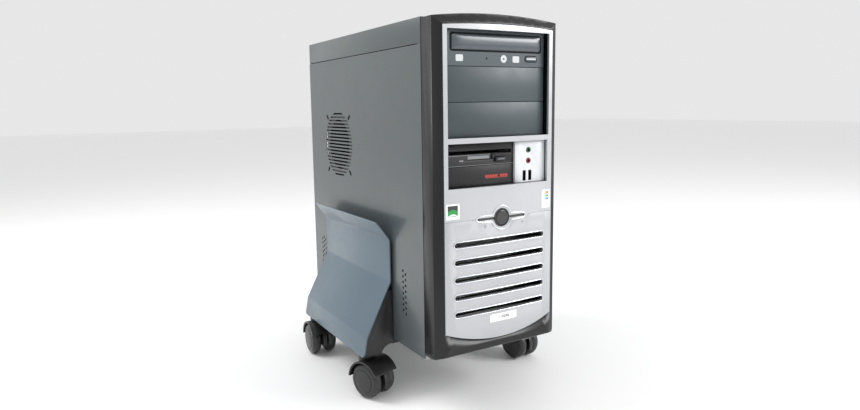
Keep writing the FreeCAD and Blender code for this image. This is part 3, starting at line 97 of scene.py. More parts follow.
class Finish:
    """A material, with its pattern and its wear worked out in Object coordinates."""

    def __init__(self, name, colour, rough, metal=0.0, **constants):
        self.material = bpy.data.materials.new(name)
        self.material.use_nodes = True
        self.tree = self.material.node_tree
        self.shader = self.tree.nodes["Principled BSDF"]
        self.colour = colour
        self.set("Base Color", colour)
        self.set("Roughness", rough)
        self.set("Metallic", metal)
        for socket, value in constants.items():
            self.set(socket.replace("_", " "), value)
        place = self.node("ShaderNodeTexCoord", {}, (), "Object")
        self.place = place
        parts = self.node("ShaderNodeSeparateXYZ", {}, (place,), None)
        self.x = Value(self, parts.outputs[0])
        self.y = Value(self, parts.outputs[1])
        self.z = Value(self, parts.outputs[2])
        self.height = None

    def node(self, kind, settings, inputs, output=0):
        made = self.tree.nodes.new(kind)
        for key, value in settings.items():
            setattr(made, key, value)
        pairs = inputs.items() if isinstance(inputs, dict) else enumerate(inputs)
        for key, value in pairs:
            self.feed(made.inputs[key], value)
        return made if output is None else Value(self, made.outputs[output])

    def feed(self, socket, value):
        if isinstance(value, Value):
            self.tree.links.new(value.socket, socket)
        else:
            socket.default_value = value

    def set(self, socket, value):
        self.feed(self.shader.inputs[socket], value)

    def noise(self, scale, detail=2.0, rough=0.5, at=None):
        inputs = {"Vector": at or self.place, "Scale": scale, "Detail": detail, "Roughness": rough}
        return self.node("ShaderNodeTexNoise", {}, inputs, "Fac")

    def cells(self, scale):
        inputs = {"Vector": self.place, "Scale": scale}
        return self.node("ShaderNodeTexVoronoi", {"feature": "F1"}, inputs, "Distance")

    def stretched(self, x, y, z):
        return self.node("ShaderNodeVectorMath", {"operation": "MULTIPLY"}, (self.place, (x, y, z)))

    def spread(self, value, low, high, new_low=0.0, new_high=1.0):
        inputs = {0: value, 1: low, 2: high, 3: new_low, 4: new_high}
        return self.node("ShaderNodeMapRange", {"clamp": True}, inputs)

    def blend(self, amount, first, second):
        settings = {"data_type": "RGBA", "blend_type": "MIX", "clamp_factor": True}
        return self.node("ShaderNodeMix", settings, {0: amount, 6: first, 7: second}, 2)

    def tint(self, amount, other):
        """Turns the colour towards another where amount is high."""
        self.colour = self.blend(amount, self.colour, other)
        self.set("Base Color", self.colour)

    def grain(self, value, depth, strength=1.0):
        inputs = {"Strength": strength, "Distance": depth, "Height": value}
        if self.height is not None:
            inputs["Normal"] = self.height
        self.height = self.node("ShaderNodeBump", {}, inputs)
        self.set("Normal", self.height)


def blotches(finish, colour, amount, scale=14.0):
    """Slow, faint changes of colour, as a moulding or a coat of paint has."""
    patch = finish.spread(finish.noise(scale, 3.0), 0.35, 0.7, 0.0, amount)
    finish.tint(patch, colour)


def worn_shine(finish, low, high, scale=40.0):
    """Roughness that drifts between two values, with fine hairline rubs."""
    drift = finish.noise(scale, 4.0, 0.6)
    rubs = finish.noise(300.0, 2.0, 0.5, finish.stretched(1.0, 0.15, 1.0))
    finish.set("Roughness", finish.spread(drift * 0.7 + rubs * 0.3, 0.3, 0.7, low, high))


def dust(finish, colour, amount):
    """A thin fall of dust on the surfaces that look up."""
    facing = finish.node("ShaderNodeNewGeometry", {}, (), "Normal")
    up = Value(finish, finish.node("ShaderNodeSeparateXYZ", {}, (facing,), None).outputs[2])
    patch = finish.noise(120.0, 4.0, 0.65)
    finish.tint(finish.spread(up, 0.7, 1.0, 0.0, amount) * finish.spread(patch, 0.3, 0.75), colour)


def make_case_paint():
    paint = Finish("graphite case paint", srgb(78, 85, 87), 0.34, Coat_Weight=0.4, Coat_Roughness=0.16)
    blotches(paint, srgb(70, 77, 80), 0.6, 6.0)
    worn_shine(paint, 0.33, 0.42)
    peel = paint.noise(900.0, 2.0)
    paint.grain(peel, 0.00006, 0.5)
    paint.grain(paint.noise(60.0, 2.0), 0.0002, 0.12)
    dust(paint, srgb(150, 150, 148), 0.10)
    return paint


def make_zinc():
    zinc = Finish("zinc plated steel", srgb(176, 178, 176), 0.38, 0.85)
    spangle = zinc.cells(90.0)
    zinc.tint(zinc.spread(spangle, 0.0, 0.9, 0.0, 0.35), srgb(140, 144, 146))
    zinc.set("Roughness", zinc.spread(spangle, 0.0, 1.0, 0.3, 0.48))
    streaks = zinc.noise(700.0, 2.0, 0.5, zinc.stretched(1.0, 1.0, 0.04))
    zinc.grain(streaks, 0.00004, 0.4)
    return zinc


def make_moulding():
    low_gloss = {"Specular_IOR_Level": 0.35, "Coat_Weight": 0.1, "Coat_Roughness": 0.12}
    moulding = Finish("dark satin moulding", srgb(18, 18, 19), 0.3, **low_gloss)
    blotches(moulding, srgb(14, 14, 15), 0.6, 9.0)
    worn_shine(moulding, 0.3, 0.4)
    moulding.grain(moulding.noise(1600.0, 2.0), 0.00004, 0.5)
    return moulding


def make_silver():
    silver = Finish("silver lacquer", srgb(176, 177, 180), 0.32, 0.5, Coat_Weight=0.5, Coat_Roughness=0.12)
    flake = silver.cells(2600.0)
    silver.tint(silver.spread(flake, 0.1, 0.7, 0.0, 0.3), srgb(206, 208, 212))
    blotches(silver, srgb(164, 166, 170), 0.5, 10.0)
    silver.set("Roughness", silver.spread(silver.noise(50.0, 4.0), 0.3, 0.7, 0.32, 0.42))
    silver.grain(silver.noise(2400.0, 2.0), 0.00002, 0.4)
    return silver


def make_white():
    white = Finish("white satin plastic", srgb(214, 217, 220), 0.4)
    blotches(white, srgb(202, 206, 209), 0.5, 12.0)
    worn_shine(white, 0.34, 0.44)
    white.grain(white.noise(1500.0, 2.0), 0.00003, 0.4)
    return white


def make_drive_face():
    face = Finish("blue-grey drive plastic", srgb(60, 70, 75), 0.42)
    speckle = face.noise(1900.0, 3.0, 0.7)
    face.tint(face.spread(speckle, 0.45, 0.75, 0.0, 0.35), srgb(84, 94, 99))
    blotches(face, srgb(52, 61, 67), 0.6, 12.0)
    worn_shine(face, 0.36, 0.48)
    face.grain(speckle, 0.00006, 0.5)
    return face


def make_floppy_face():
    face = Finish("charcoal drive plastic", srgb(30, 29, 30), 0.42, Specular_IOR_Level=0.35)
    speckle = face.noise(1900.0, 3.0, 0.7)
    face.tint(face.spread(speckle, 0.5, 0.8, 0.0, 0.3), srgb(48, 47, 48))
    worn_shine(face, 0.36, 0.5)
    face.grain(speckle, 0.00006, 0.5)
    return face


def make_button():
    button = Finish("dark button plastic", srgb(30, 30, 31), 0.28, Coat_Weight=0.3, Coat_Roughness=0.1)
    spun = button.noise(500.0, 3.0)
    button.tint(button.spread(spun, 0.4, 0.7, 0.0, 0.3), srgb(42, 41, 41))
    button.grain(spun, 0.00003, 0.3)
    return button


def make_guide():
    guide = Finish("smoked light guide", srgb(30, 30, 33), 0.2, Coat_Weight=0.4, Coat_Roughness=0.08)
    guide.tint(guide.spread(guide.noise(80.0, 3.0), 0.4, 0.7, 0.0, 0.4), srgb(44, 44, 48))
    guide.grain(guide.noise(900.0, 2.0), 0.00002, 0.3)
    return guide


def make_rubber():
    rubber = Finish("foot rubber", srgb(34, 34, 34), 0.8)
    rubber.tint(rubber.spread(rubber.noise(300.0, 4.0), 0.4, 0.7, 0.0, 0.5), srgb(52, 51, 50))
    rubber.grain(rubber.noise(900.0, 3.0), 0.0001, 0.6)
    return rubber


def make_black():
    black = Finish("black moulded plastic", srgb(32, 32, 34), 0.45)
    blotches(black, srgb(42, 42, 44), 0.5, 30.0)
    worn_shine(black, 0.38, 0.5)
    black.grain(black.noise(1500.0, 2.0), 0.00005, 0.5)
    return black


def make_board():
    board = Finish("green circuit board", srgb(22, 92, 48), 0.35)
    tracks = board.node(
        "ShaderNodeTexBrick",
        {"offset": 0.37, "squash": 1.0},
        {
            "Vector": board.node("ShaderNodeCombineXYZ", {}, (board.y, board.z, 0.0)),
            "Color1": (1, 1, 1, 1),
            "Color2": (1, 1, 1, 1),
            "Mortar": (0, 0, 0, 1),
            "Scale": 60.0,
            "Mortar Size": 0.05,
            "Brick Width": 0.9,
            "Row Height": 0.22,
        },
        "Fac",
    )
    board.tint(tracks * 0.5, srgb(60, 140, 86))
    pads = board.cells(420.0)
    board.tint(board.spread(pads, 0.12, 0.16, 0.6, 0.0), srgb(190, 190, 176))
    board.grain(tracks, 0.0001, 0.5)
    return board


def make_alloy():
    alloy = Finish("cast alloy", srgb(182, 184, 186), 0.42, 0.9)
    alloy.tint(alloy.spread(alloy.noise(60.0, 4.0), 0.4, 0.7, 0.0, 0.4), srgb(150, 153, 156))
    alloy.grain(alloy.noise(900.0, 3.0, 0.6), 0.0001, 0.5)
    return alloy


def make_stand_paint():
    paint = Finish("blue-grey stand paint", srgb(88, 106, 118), 0.36, Coat_Weight=0.25, Coat_Roughness=0.2)
    blotches(paint, srgb(80, 98, 111), 0.6, 9.0)
    worn_shine(paint, 0.34, 0.44)
    paint.grain(paint.noise(900.0, 2.0), 0.00008, 0.5)
    paint.grain(paint.noise(45.0, 2.0), 0.0003, 0.12)
    return paint


def make_stand_plastic():
    plastic = Finish("dark stand moulding", srgb(26, 25, 26), 0.4)
    blotches(plastic, srgb(34, 33, 33), 0.5, 20.0)
    worn_shine(plastic, 0.34, 0.46)
    plastic.grain(plastic.noise(1200.0, 2.0), 0.00008, 0.6)
    dust(plastic, srgb(120, 118, 115), 0.12)
    return plastic


def make_caster_nylon(name, level):
    nylon = Finish(name, srgb(level, level, level), 0.32, Coat_Weight=0.15, Coat_Roughness=0.15)
    scuffs = nylon.noise(160.0, 5.0, 0.7)
    nylon.tint(nylon.spread(scuffs, 0.55, 0.8, 0.0, 0.4), srgb(62, 61, 61))
    worn_shine(nylon, 0.26, 0.42)
    nylon.grain(nylon.noise(1100.0, 2.0), 0.00006, 0.5)
    return nylon


def make_audio_rings():
    low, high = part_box("audio_sockets")
    rings = Finish("socket ring plastic", srgb(30, 78, 44), 0.35)
    rings.tint(rings.z < (low.z + high.z) / 2, srgb(124, 26, 42))
    rings.grain(rings.noise(1500.0, 2.0), 0.00003, 0.4)
    return rings


def make_usb_metal():
    shell = Finish("plated socket shell", srgb(60, 60, 62), 0.3, 0.8)
    shell.tint(shell.spread(shell.noise(400.0, 3.0), 0.4, 0.7, 0.0, 0.4), srgb(96, 96, 98))
    shell.grain(shell.noise(900.0, 2.0), 0.00003, 0.4)
    return shell


def make_port_blocks():
    """Each row of ports has its own colour: lower edge, upper edge above the floor in metres, and shade."""
    ports = Finish("port block plastic", srgb(58, 60, 66), 0.4)
    rows = (
        (0.352, 0.366, srgb(96, 64, 140)),
        (0.366, 0.380, srgb(40, 132, 86)),
        (0.290, 0.316, srgb(38, 62, 138)),
        (0.252, 0.279, srgb(178, 60, 110)),
        (0.226, 0.250, srgb(60, 120, 168)),
    )
    for low, high, shade in rows:
        ports.tint((ports.z > low) * (ports.z < high), shade)
    ports.grain(ports.noise(900.0, 3.0), 0.00005, 0.5)
    return ports


def make_rim_and_painted_highlight():
    # A lighter silver than the fascia's: painted highlight on the slot rims, and the pale colour of the collar
    # rim.
    wet_coat = {"Coat_Weight": 0.6, "Coat_Roughness": 0.08}
    painted_highlight = Finish("polished silver rim", srgb(214, 218, 224), 0.22, 0.5, **wet_coat)
    painted_highlight.grain(painted_highlight.noise(1500.0, 2.0), 0.00001, 0.3)
    return painted_highlight


def make_print(name, colour):
    ink = Finish(name, colour, 0.5)
    ink.grain(ink.noise(1800.0, 2.0), 0.00002, 0.4)
    return ink


def make_mottled(name, colour, patches, rough, scale, detail):
    plastic = Finish(name, colour, rough)
    plastic.tint(plastic.spread(plastic.noise(scale, detail), 0.4, 0.7, 0.0, 0.4), patches)
    return plastic


def make_groove_shade_and_lamp():
    # Near black with little shine: painted shade for the grooves round the tray door and the eject button, and the
    # dark colour of the unlit lamp.
    groove = Finish("painted groove shade and lamp plastic", srgb(10, 11, 12), 0.5, Specular_IOR_Level=0.1)
    groove.grain(groove.noise(1500.0, 2.0), 0.00002, 0.4)
    return groove


def make_door_sheen():
    door = Finish("tray door plastic", srgb(66, 74, 80), 0.3, Coat_Weight=0.3, Coat_Roughness=0.15)
    speckle = door.noise(1500.0, 3.0, 0.7)
    door.tint(door.spread(speckle, 0.45, 0.75, 0.0, 0.4), srgb(92, 100, 106))
    door.grain(speckle, 0.00006, 0.5)
    return door


finishes = {
    "case_paint": make_case_paint(),
    "zinc_steel": make_zinc(),
    "rubber_feet": make_rubber(),
    "dark_moulding": make_moulding(),
    "silver_plastic": make_silver(),
    "white_plastic": make_white(),
    "drive_face": make_drive_face(),
    "floppy_face": make_floppy_face(),
    "button_plastic": make_button(),
    "light_guide": make_guide(),
    "sticker_paper": make_white(),
    "audio_plastic": make_audio_rings(),
    "usb_metal": make_usb_metal(),
    "port_plastic": make_port_blocks(),
    "black_plastic": make_black(),
    "board_green": make_board(),
    "cast_alloy": make_alloy(),
    "stand_paint": make_stand_paint(),
    "stand_plastic": make_stand_plastic(),
    "caster_plastic": make_caster_nylon("caster hood nylon", 26),
    "caster_wheel": make_caster_nylon("caster wheel nylon", 30),
}
rim_and_painted_highlight = make_rim_and_painted_highlight()
white_print = make_print("white printed mark", srgb(196, 200, 202))
grey_print = make_print("grey printed mark", srgb(150, 154, 164))
red_print = make_mottled("red printed mark", srgb(206, 62, 48), srgb(170, 44, 38), 0.45, 1500.0, 2.0)
# Lighter grey: the small drive's lamp and eject dash, and painted highlights on its flap and slot lip.
grey_trim_and_highlight = make_mottled("light grey trim and painted highlight", srgb(128, 130, 134), srgb(104, 106, 110), 0.4, 900.0, 3.0)
groove_shade_and_lamp = make_groove_shade_and_lamp()
door_sheen = make_door_sheen()
for node in nodes.values():
    for place in node.material_slots:
        place.material = finishes[place.name].material


# ---------------------------------------------------------------- helpers for the pieces
def placed(name, form, finish, body, slot, stands_for=(), corner=35.0):
    """Turns a mesh under construction into a finished piece that rides on a body."""
    mesh = bpy.data.meshes.new(name)
    form.to_mesh(mesh)
    form.free()
    mesh.materials.append(finish.material)
    mesh.shade_smooth()
    mesh.set_sharp_from_angle(angle=math.radians(corner))
    made = bpy.data.objects.new(name, mesh)
    bpy.context.scene.collection.objects.link(made)
    if stands_for:
        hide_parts(*stands_for)
    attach(made, body)


def placed_outward(name, form, finish, body, slot, **choices):
    """The same, for a mesh made here, whose faces are first turned outwards."""
    bmesh.ops.recalc_face_normals(form, faces=form.faces)
    placed(name, form, finish, body, slot, **choices)


def placed_for(node, form):
    """The same, for an eased copy that stands for its CAD node."""
    slot = slot_of[node]
    placed(node + "_eased", form, finishes[slot], body_of[node], slot, stands_for=(node,), corner=40.0)


def merged_copy(node):
    """A node's surface as one connected mesh."""
    form = bmesh.new()
    form.from_mesh(nodes[node].data)
    bmesh.ops.remove_doubles(form, verts=form.verts, dist=0.002 * MM)
    return form


def eased(node, width, segments=2):
    """Stands for a CAD node with the same shape and its corners rounded by width."""
    form = merged_copy(node)
    bmesh.ops.dissolve_limit(form, angle_limit=math.radians(0.4), verts=form.verts, edges=form.edges)
    mesh = bpy.data.meshes.new(node + "_sharp")
    form.to_mesh(mesh)
    form.free()
    rough = bpy.data.objects.new(node + "_sharp", mesh)
    bpy.context.scene.collection.objects.link(rough)
    bevel = rough.modifiers.new("eased", "BEVEL")
    bevel.width = width * MM
    bevel.segments = segments
    bevel.limit_method = "ANGLE"
    bevel.angle_limit = math.radians(30.0)
    bevel.miter_outer = "MITER_ARC"
    depsgraph = bpy.context.evaluated_depsgraph_get()
    finished = bpy.data.meshes.new_from_object(rough.evaluated_get(depsgraph))
    bpy.data.objects.remove(rough)
    form = bmesh.new()
    form.from_mesh(finished)
    bpy.data.meshes.remove(finished)
    placed_for(node, form)


def long_edges_eased(node, width, least):
    """Stands for a CAD node with windows in it: only its sharp edges longer than least are rounded."""
    form = merged_copy(node)
    sharp = [e for e in form.edges if len(e.link_faces) == 2 and e.calc_face_angle() > math.radians(50.0)]
    chosen = [e for e in sharp if e.calc_length() > least * MM]
    bmesh.ops.bevel(
        form, geom=chosen, offset=width * MM, segments=3, profile=0.5, affect="EDGES", clamp_overlap=False
    )
    placed_for(node, form)


def ring_of(form, points):
    return [form.verts.new(p) for p in points]


def skin(form, rings, closed=False):
    """Joins rings of vertices, one after another, into a surface."""
    pairs = list(zip(rings, rings[1:])) + ([(rings[-1], rings[0])] if closed else [])
    for first, second in pairs:
        count = len(first)
        for i in range(count):
            j = (i + 1) % count
            form.faces.new((first[i], first[j], second[j], second[i]))


def around(radius, steps):
    """Points on a circle about the origin."""
    turns = [2 * math.pi * k / steps for k in range(steps)]
    return [(radius * math.cos(turn), radius * math.sin(turn)) for turn in turns]


def bead(form, path, radius, sides=8):
    """A closed round bead along a loop of points that faces the front."""
    forward = Vector((0, -1, 0))
    rings = []
    for i, point in enumerate(path):
        along = (path[(i + 1) % len(path)] - path[i - 1]).normalized()
        across = along.cross(forward).normalized()
        rings.append(ring_of(form, [point + a * forward + b * across for a, b in around(radius, sides)]))
    skin(form, rings, closed=True)


def lathe(form, profile, centre, axis, sectors=56):
    """A solid of revolution: profile gives (radius, distance along the axis), in millimetres."""
    turn = axis.to_track_quat("X", "Z").to_matrix()
    rings = []
    for radius, reach in profile:
        circle = [Vector((reach, a, b)) * MM for a, b in around(radius, sectors)]
        rings.append(ring_of(form, [centre + turn @ point for point in circle]))
    skin(form, rings)
    form.faces.new(reversed(rings[0]))
    form.faces.new(rings[-1])


def rounded(half_w, half_h, radius, steps=6):
    """A rounded rectangle about the origin, anticlockwise."""
    points = []
    for quarter, (sx, sz) in enumerate(((1, -1), (1, 1), (-1, 1), (-1, -1))):
        for k in range(steps + 1):
            angle = math.radians(-90 + 90 * quarter + 90 * k / steps)
            x = sx * (half_w - radius) + radius * math.cos(angle)
            z = sz * (half_h - radius) + radius * math.sin(angle)
            points.append((x, z))
    return points


def stadium(half_w, half_h, steps=10, straight=24):
    """A slot outline with round ends and close points along its runs."""
    reach = half_w - half_h
    points = []
    for side in (1, -1):
        for k in range(straight):
            points.append((side * (-reach + 2 * reach * k / straight), -side * half_h))
        for k in range(steps):
            angle = math.radians(-90 + 180 * k / steps)
            points.append((side * (reach + half_h * math.cos(angle)), side * half_h * math.sin(angle)))
    return points


def film(form, outline, centre, front, depth, hole=None):
    """A flat shape that faces the front: outline and hole lie in the XZ plane, in millimetres."""

    def at(points, y):
        return ring_of(form, [Vector((centre[0] + u, y, centre[1] + v)) * MM for u, v in points])

    fore = at(outline, front)
    rear = at(outline, front + depth)
    skin(form, [fore, rear])
    if hole is None:
        form.faces.new(fore)
        form.faces.new(list(reversed(rear)))
    else:
        skin(form, [rear, at(hole, front + depth), at(hole, front), fore])


def front_of(node):
    """A node's front, middle and half size in the XZ plane, in millimetres."""
    low, high = (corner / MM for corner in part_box(node))
    middle = ((low.x + high.x) / 2, (low.z + high.z) / 2)
    half = ((high.x - low.x) / 2, (high.z - low.z) / 2)
    return low.y, middle, half


# ---------------------------------------------------------------- the bowed silver fascia
fascia_low, fascia_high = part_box("lower_fascia")
bow = (fascia_high.y - fascia_low.y) / 2
bow_radius = (fascia_high.x ** 2 + bow ** 2) / (2 * bow)
case_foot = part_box("chassis_floor")[0].z / MM

GRILLE_SLOTS = 5
LOWEST_SLOT = 61.6
SLOT_PITCH = 21.7
SLOT_HALF_WIDTH = 69.9
SLOT_HALF_HEIGHT = 3.9
RIM_RADIUS = 0.75
BUTTON_RADIUS = 10.0
COLLAR_HALF_WIDTH = 38.5
COLLAR_HALF_HEIGHT = 4.2
COLLAR_RING = 14.8
COLLAR_BEAD = 0.9
MARKS_RISE = 168.0
PRINT_PROUD = 0.1
PRINT_DEPTH = 0.2


def fascia_y(x):
    """The fascia's front, in metres, at a place across it."""
    return fascia_low.y + bow_radius - math.sqrt(bow_radius ** 2 - x ** 2)


def on_fascia(outline, centre, proud):
    """An outline laid on the bowed fascia: millimetres across and up from the floor."""
    points = []
    for u, v in outline:
        x = (centre[0] + u) * MM
        points.append(Vector((x, fascia_y(x) - proud * MM, (centre[1] + v) * MM)))
    return points


def slot_rims():
    """The rolled rims of the grille slots, in a lighter silver than the fascia: a painted highlight."""
    form = bmesh.new()
    outline = stadium(SLOT_HALF_WIDTH, SLOT_HALF_HEIGHT)
    for i in range(GRILLE_SLOTS):
        centre = (0.0, case_foot + LOWEST_SLOT + SLOT_PITCH * i)
        bead(form, on_fascia(outline, centre, 0.05), RIM_RADIUS * MM)
    placed_outward("slot_rims", form, rim_and_painted_highlight, "tower", "silver_plastic", corner=60)


def collar_height(u):
    """Half the collar's height: a flat round-ended bar blended into a ring."""
    bar = math.sqrt(max(0.0, 1 - (abs(u) / COLLAR_HALF_WIDTH) ** 6)) * COLLAR_HALF_HEIGHT
    ring = math.sqrt(max(0.0, COLLAR_RING ** 2 - u ** 2))
    return (bar ** 4 + ring ** 4) ** 0.25


def collar_rim():
    """The raised outline round the power button and its two light slots."""
    steps = 72
    across = [COLLAR_HALF_WIDTH * math.sin(math.pi / 2 * (2 * k / steps - 1)) for k in range(steps + 1)]
    lower = [(u, -collar_height(u)) for u in across]
    upper = [(u, collar_height(u)) for u in reversed(across[1:-1])]
    centre = (0.0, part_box("power_button")[0].z / MM + BUTTON_RADIUS)
    form = bmesh.new()
    bead(form, on_fascia(lower + upper, centre, 0.0), COLLAR_BEAD * MM)
    placed_outward("button_collar", form, rim_and_painted_highlight, "tower", "silver_plastic", corner=60)


def sticker(name, half, centre, print_on, **choices):
    """A thin film with round corners that lies on the bowed fascia."""
    form = bmesh.new()
    outline = rounded(half[0], half[1], 1.6)
    fore = ring_of(form, on_fascia(outline, centre, 0.22))
    rear = ring_of(form, on_fascia(outline, centre, 0.02))
    skin(form, [fore, rear])
    form.faces.new(fore)
    form.faces.new(list(reversed(rear)))
    paper = Finish(name + " film", srgb(238, 240, 240), 0.3, Coat_Weight=0.4, Coat_Roughness=0.1)
    u = (paper.x - centre[0] * MM) / (half[0] * MM)
    v = (paper.z - centre[1] * MM) / (half[1] * MM)
    print_on(paper, u, v)
    paper.grain(paper.noise(900.0, 2.0), 0.00002, 0.3)
    placed_outward(name, form, paper, "tower", "sticker_paper", **choices)


def band(value, low, high):
    return (value > low) * (value < high)


def green_print(paper, u, v):
    """A dark square with a green hill in it, and a white foot with a line of small marks."""
    inside = band(u, -0.74, 0.74) * band(v, -0.74, 0.78)
    paper.tint(inside, srgb(34, 40, 38))
    hill = v + u * u * 0.55
    paper.tint(inside * (hill < 0.28), srgb(20, 142, 58))
    paper.tint(inside * (hill < -0.3), srgb(236, 240, 236))
    line = (paper.noise(2600.0, 1.0) > 0.52) * band(v, -0.66, -0.48) * band(u, -0.5, 0.5)
    paper.tint(line, srgb(90, 94, 92))


def striped_print(paper, u, v):
    """Three colour bars over three thin grey lines."""
    bars = (
        (0.52, 0.8, srgb(240, 128, 60)),
        (0.2, 0.44, srgb(70, 176, 84)),
        (-0.12, 0.12, srgb(66, 148, 216)),
    )
    for low, high, shade in bars:
        paper.tint(band(v, low, high) * band(u, -0.1, 0.72), shade)
    for low in (-0.42, -0.6, -0.78):
        paper.tint(band(v, low, low + 0.07) * band(u, -0.66, 0.6), srgb(168, 172, 176))


def label_print(paper, u, v):
    """One thin bar and a short run of dark specks."""
    row = band(v, -0.35, 0.4)
    paper.tint(row * band(u, -0.16, 0.42) * (paper.noise(1500.0, 1.0) > 0.5), srgb(60, 62, 64))
    paper.tint(row * band(u, -0.3, -0.26), srgb(90, 92, 96))


def stickers():
    """Half width and height, then the middle: across, and up from the case's foot."""
    sticker("maker_sticker", (9.4, 9.4), (-71.5, case_foot + 190.1), green_print, stands_for=("stickers",))
    sticker("system_sticker", (7.0, 12.0), (73.0, case_foot + 194.0), striped_print)
    sticker("serial_label", (21.0, 5.0), (3.0, case_foot + 49.0), label_print)


def button_marks():
    """Two small printed marks under the light slots."""
    form = bmesh.new()
    for u, shape in ((-25.0, rounded(1.5, 2.2, 0.5)), (33.0, around(1.7, 16))):
        film(form, shape, (u, case_foot + MARKS_RISE), fascia_y(u * MM) / MM - 0.12, PRINT_DEPTH)
    placed_outward("indicator_marks", form, grey_print, "tower", "silver_plastic")


# ---------------------------------------------------------------- the disc drive's front
DOOR_SWELL = 1.8
DOOR_COLUMNS = 40
DOOR_ROWS = 14
ROW_OF_MARKS = 9.2
RIGHT_MARK = 9.0
LAMP_RISE = 9.6
drive_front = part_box("optical_drive_bezel")[0].y / MM
drive_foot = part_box("optical_drive_bezel")[0].z / MM


def drive_marks():
    """Three plain white marks: two round-cornered squares and a ring."""
    form = bmesh.new()
    front = drive_front - 0.12
    for u, v in ((-55.0, ROW_OF_MARKS), (29.5, RIGHT_MARK)):
        film(form, rounded(5.2, 3.9, 1.4), (u, drive_foot + v), front, PRINT_DEPTH)
    film(form, around(4.6, 28), (10.5, drive_foot + ROW_OF_MARKS), front, PRINT_DEPTH, around(1.3, 28))
    placed_outward("drive_marks", form, white_print, "tower", "drive_face")


def tray_groove_shade():
    """A dark film round the tray's door: painted shade where the groove is."""
    front, middle, half = front_of("optical_drive_tray")
    form = bmesh.new()
    outer = rounded(half[0] + 2.6, half[1] + 2.4, 3.6)
    inner = rounded(half[0] - 0.2, half[1] - 0.2, 1.4)
    film(form, outer, middle, drive_front - 0.15, 0.3, inner)
    placed_outward("tray_groove_shade", form, groove_shade_and_lamp, "tower", "drive_face")


def tray_door_front():
    """The tray's door, pillowed: flat in its middle and falling away at its edges."""
    front, middle, half = front_of("optical_drive_tray")
    form = bmesh.new()
    grid = []
    for j in range(DOOR_ROWS + 1):
        v = -1 + 2 * j / DOOR_ROWS
        line = []
        for i in range(DOOR_COLUMNS + 1):
            u = -1 + 2 * i / DOOR_COLUMNS
            swell = DOOR_SWELL * (1 - abs(u) ** 14) * (1 - abs(v) ** 3.2)
            line.append(Vector((middle[0] + u * half[0], front - swell, middle[1] + v * half[1])) * MM)
        grid.append(ring_of(form, line))
    for below, above in zip(grid, grid[1:]):
        for i in range(DOOR_COLUMNS):
            form.faces.new((below[i], below[i + 1], above[i + 1], above[i]))
    right = [row[-1] for row in grid[1:-1]]
    left = [row[0] for row in grid[1:-1]]
    edge = grid[0] + right + grid[-1][::-1] + left[::-1]
    form.faces.new(edge[::-1])
    placed_outward("tray_door_front", form, door_sheen, "disc_tray", "drive_face")


def eject_trim():
    """A dark film round the eject button, painted shade where its groove is, and the light bar on it."""
    front, middle, half = front_of("optical_eject_button")
    form = bmesh.new()
    outer = rounded(half[0] + 1.0, half[1] + 1.0, 3.6)
    inner = rounded(half[0] + 0.15, half[1] + 0.15, 0.4)
    film(form, outer, middle, drive_front - PRINT_PROUD, PRINT_DEPTH, inner)
    placed_outward("eject_groove_shade", form, groove_shade_and_lamp, "tower", "drive_face")
    form = bmesh.new()
    film(form, rounded(half[0] - 1.6, 0.9, 0.85), middle, front - PRINT_PROUD, 0.15)
    placed_outward("eject_mark", form, white_print, "disc_eject", "drive_face")


def drive_lamp():
    """The disc drive's unlit lamp."""
    form = bmesh.new()
    film(form, around(1.1, 20), (-15.3, drive_foot + LAMP_RISE), drive_front - 0.05, 0.8)
    placed_outward("drive_lamp", form, groove_shade_and_lamp, "tower", "drive_face")


# ---------------------------------------------------------------- the small drive's front
DASH_PITCH = 2.45
DASHES_RISE = 11.2


def floppy_trim_and_highlights():
    """The flap's bar, a lighter grey bar in its recess that paints light on the flap's inner face; the lamp; and
    two thin light lines that are painted highlights, on the slot's lower lip and along the gap at the face's foot;
    then the dash on the eject button.
    """
    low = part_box("floppy_drive_bezel")[0] / MM
    form = bmesh.new()
    # Flap's bar: lighter grey as painted light on the flap's inner face.
    film(form, rounded(16.2, 1.9, 0.5), (-27.4, low.z + 9.9), low.y + 0.5, 1.2)
    film(form, rounded(3.0, 0.9, 0.3), (-53.2, low.z + 6.6), low.y - PRINT_PROUD, 0.3)
    # Painted highlight on the slot's lower lip.
    film(form, rounded(32.0, 0.3, 0.2), (-42.0, low.z + 13.2), low.y - PRINT_PROUD, 0.3)
    # Painted highlight along the gap at the face's foot.
    film(form, rounded(48.5, 0.25, 0.2), (-24.0, low.z + 0.4), low.y - 0.08, PRINT_DEPTH)
    placed_outward("floppy_trim_and_highlights", form, grey_trim_and_highlight, "tower", "floppy_face")
    front, middle, half = front_of("floppy_eject_button")
    form = bmesh.new()
    film(form, rounded(half[0] - 2.75, 0.45, 0.3), middle, front - 0.08, PRINT_DEPTH)
    placed_outward("floppy_eject_mark", form, grey_trim_and_highlight, "floppy_eject", "floppy_face")


def blank_marks():
    """Two runs of red dashes over a thin red line."""
    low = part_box("small_bay_blank")[0] / MM
    row = low.z + DASHES_RISE
    front = low.y - PRINT_PROUD
    form = bmesh.new()
    for start, count in ((-17.0, 8), (6.0, 5)):
        for i in range(count):
            dash = rounded(0.8, 1.5 + 0.25 * (i % 2), 0.35)
            film(form, dash, (start + DASH_PITCH * i, row), front, PRINT_DEPTH)
    film(form, rounded(17.0, 0.25, 0.15), (0.0, row - 2.3), front, PRINT_DEPTH)
    placed_outward("blank_marks", form, red_print, "tower", "floppy_face")


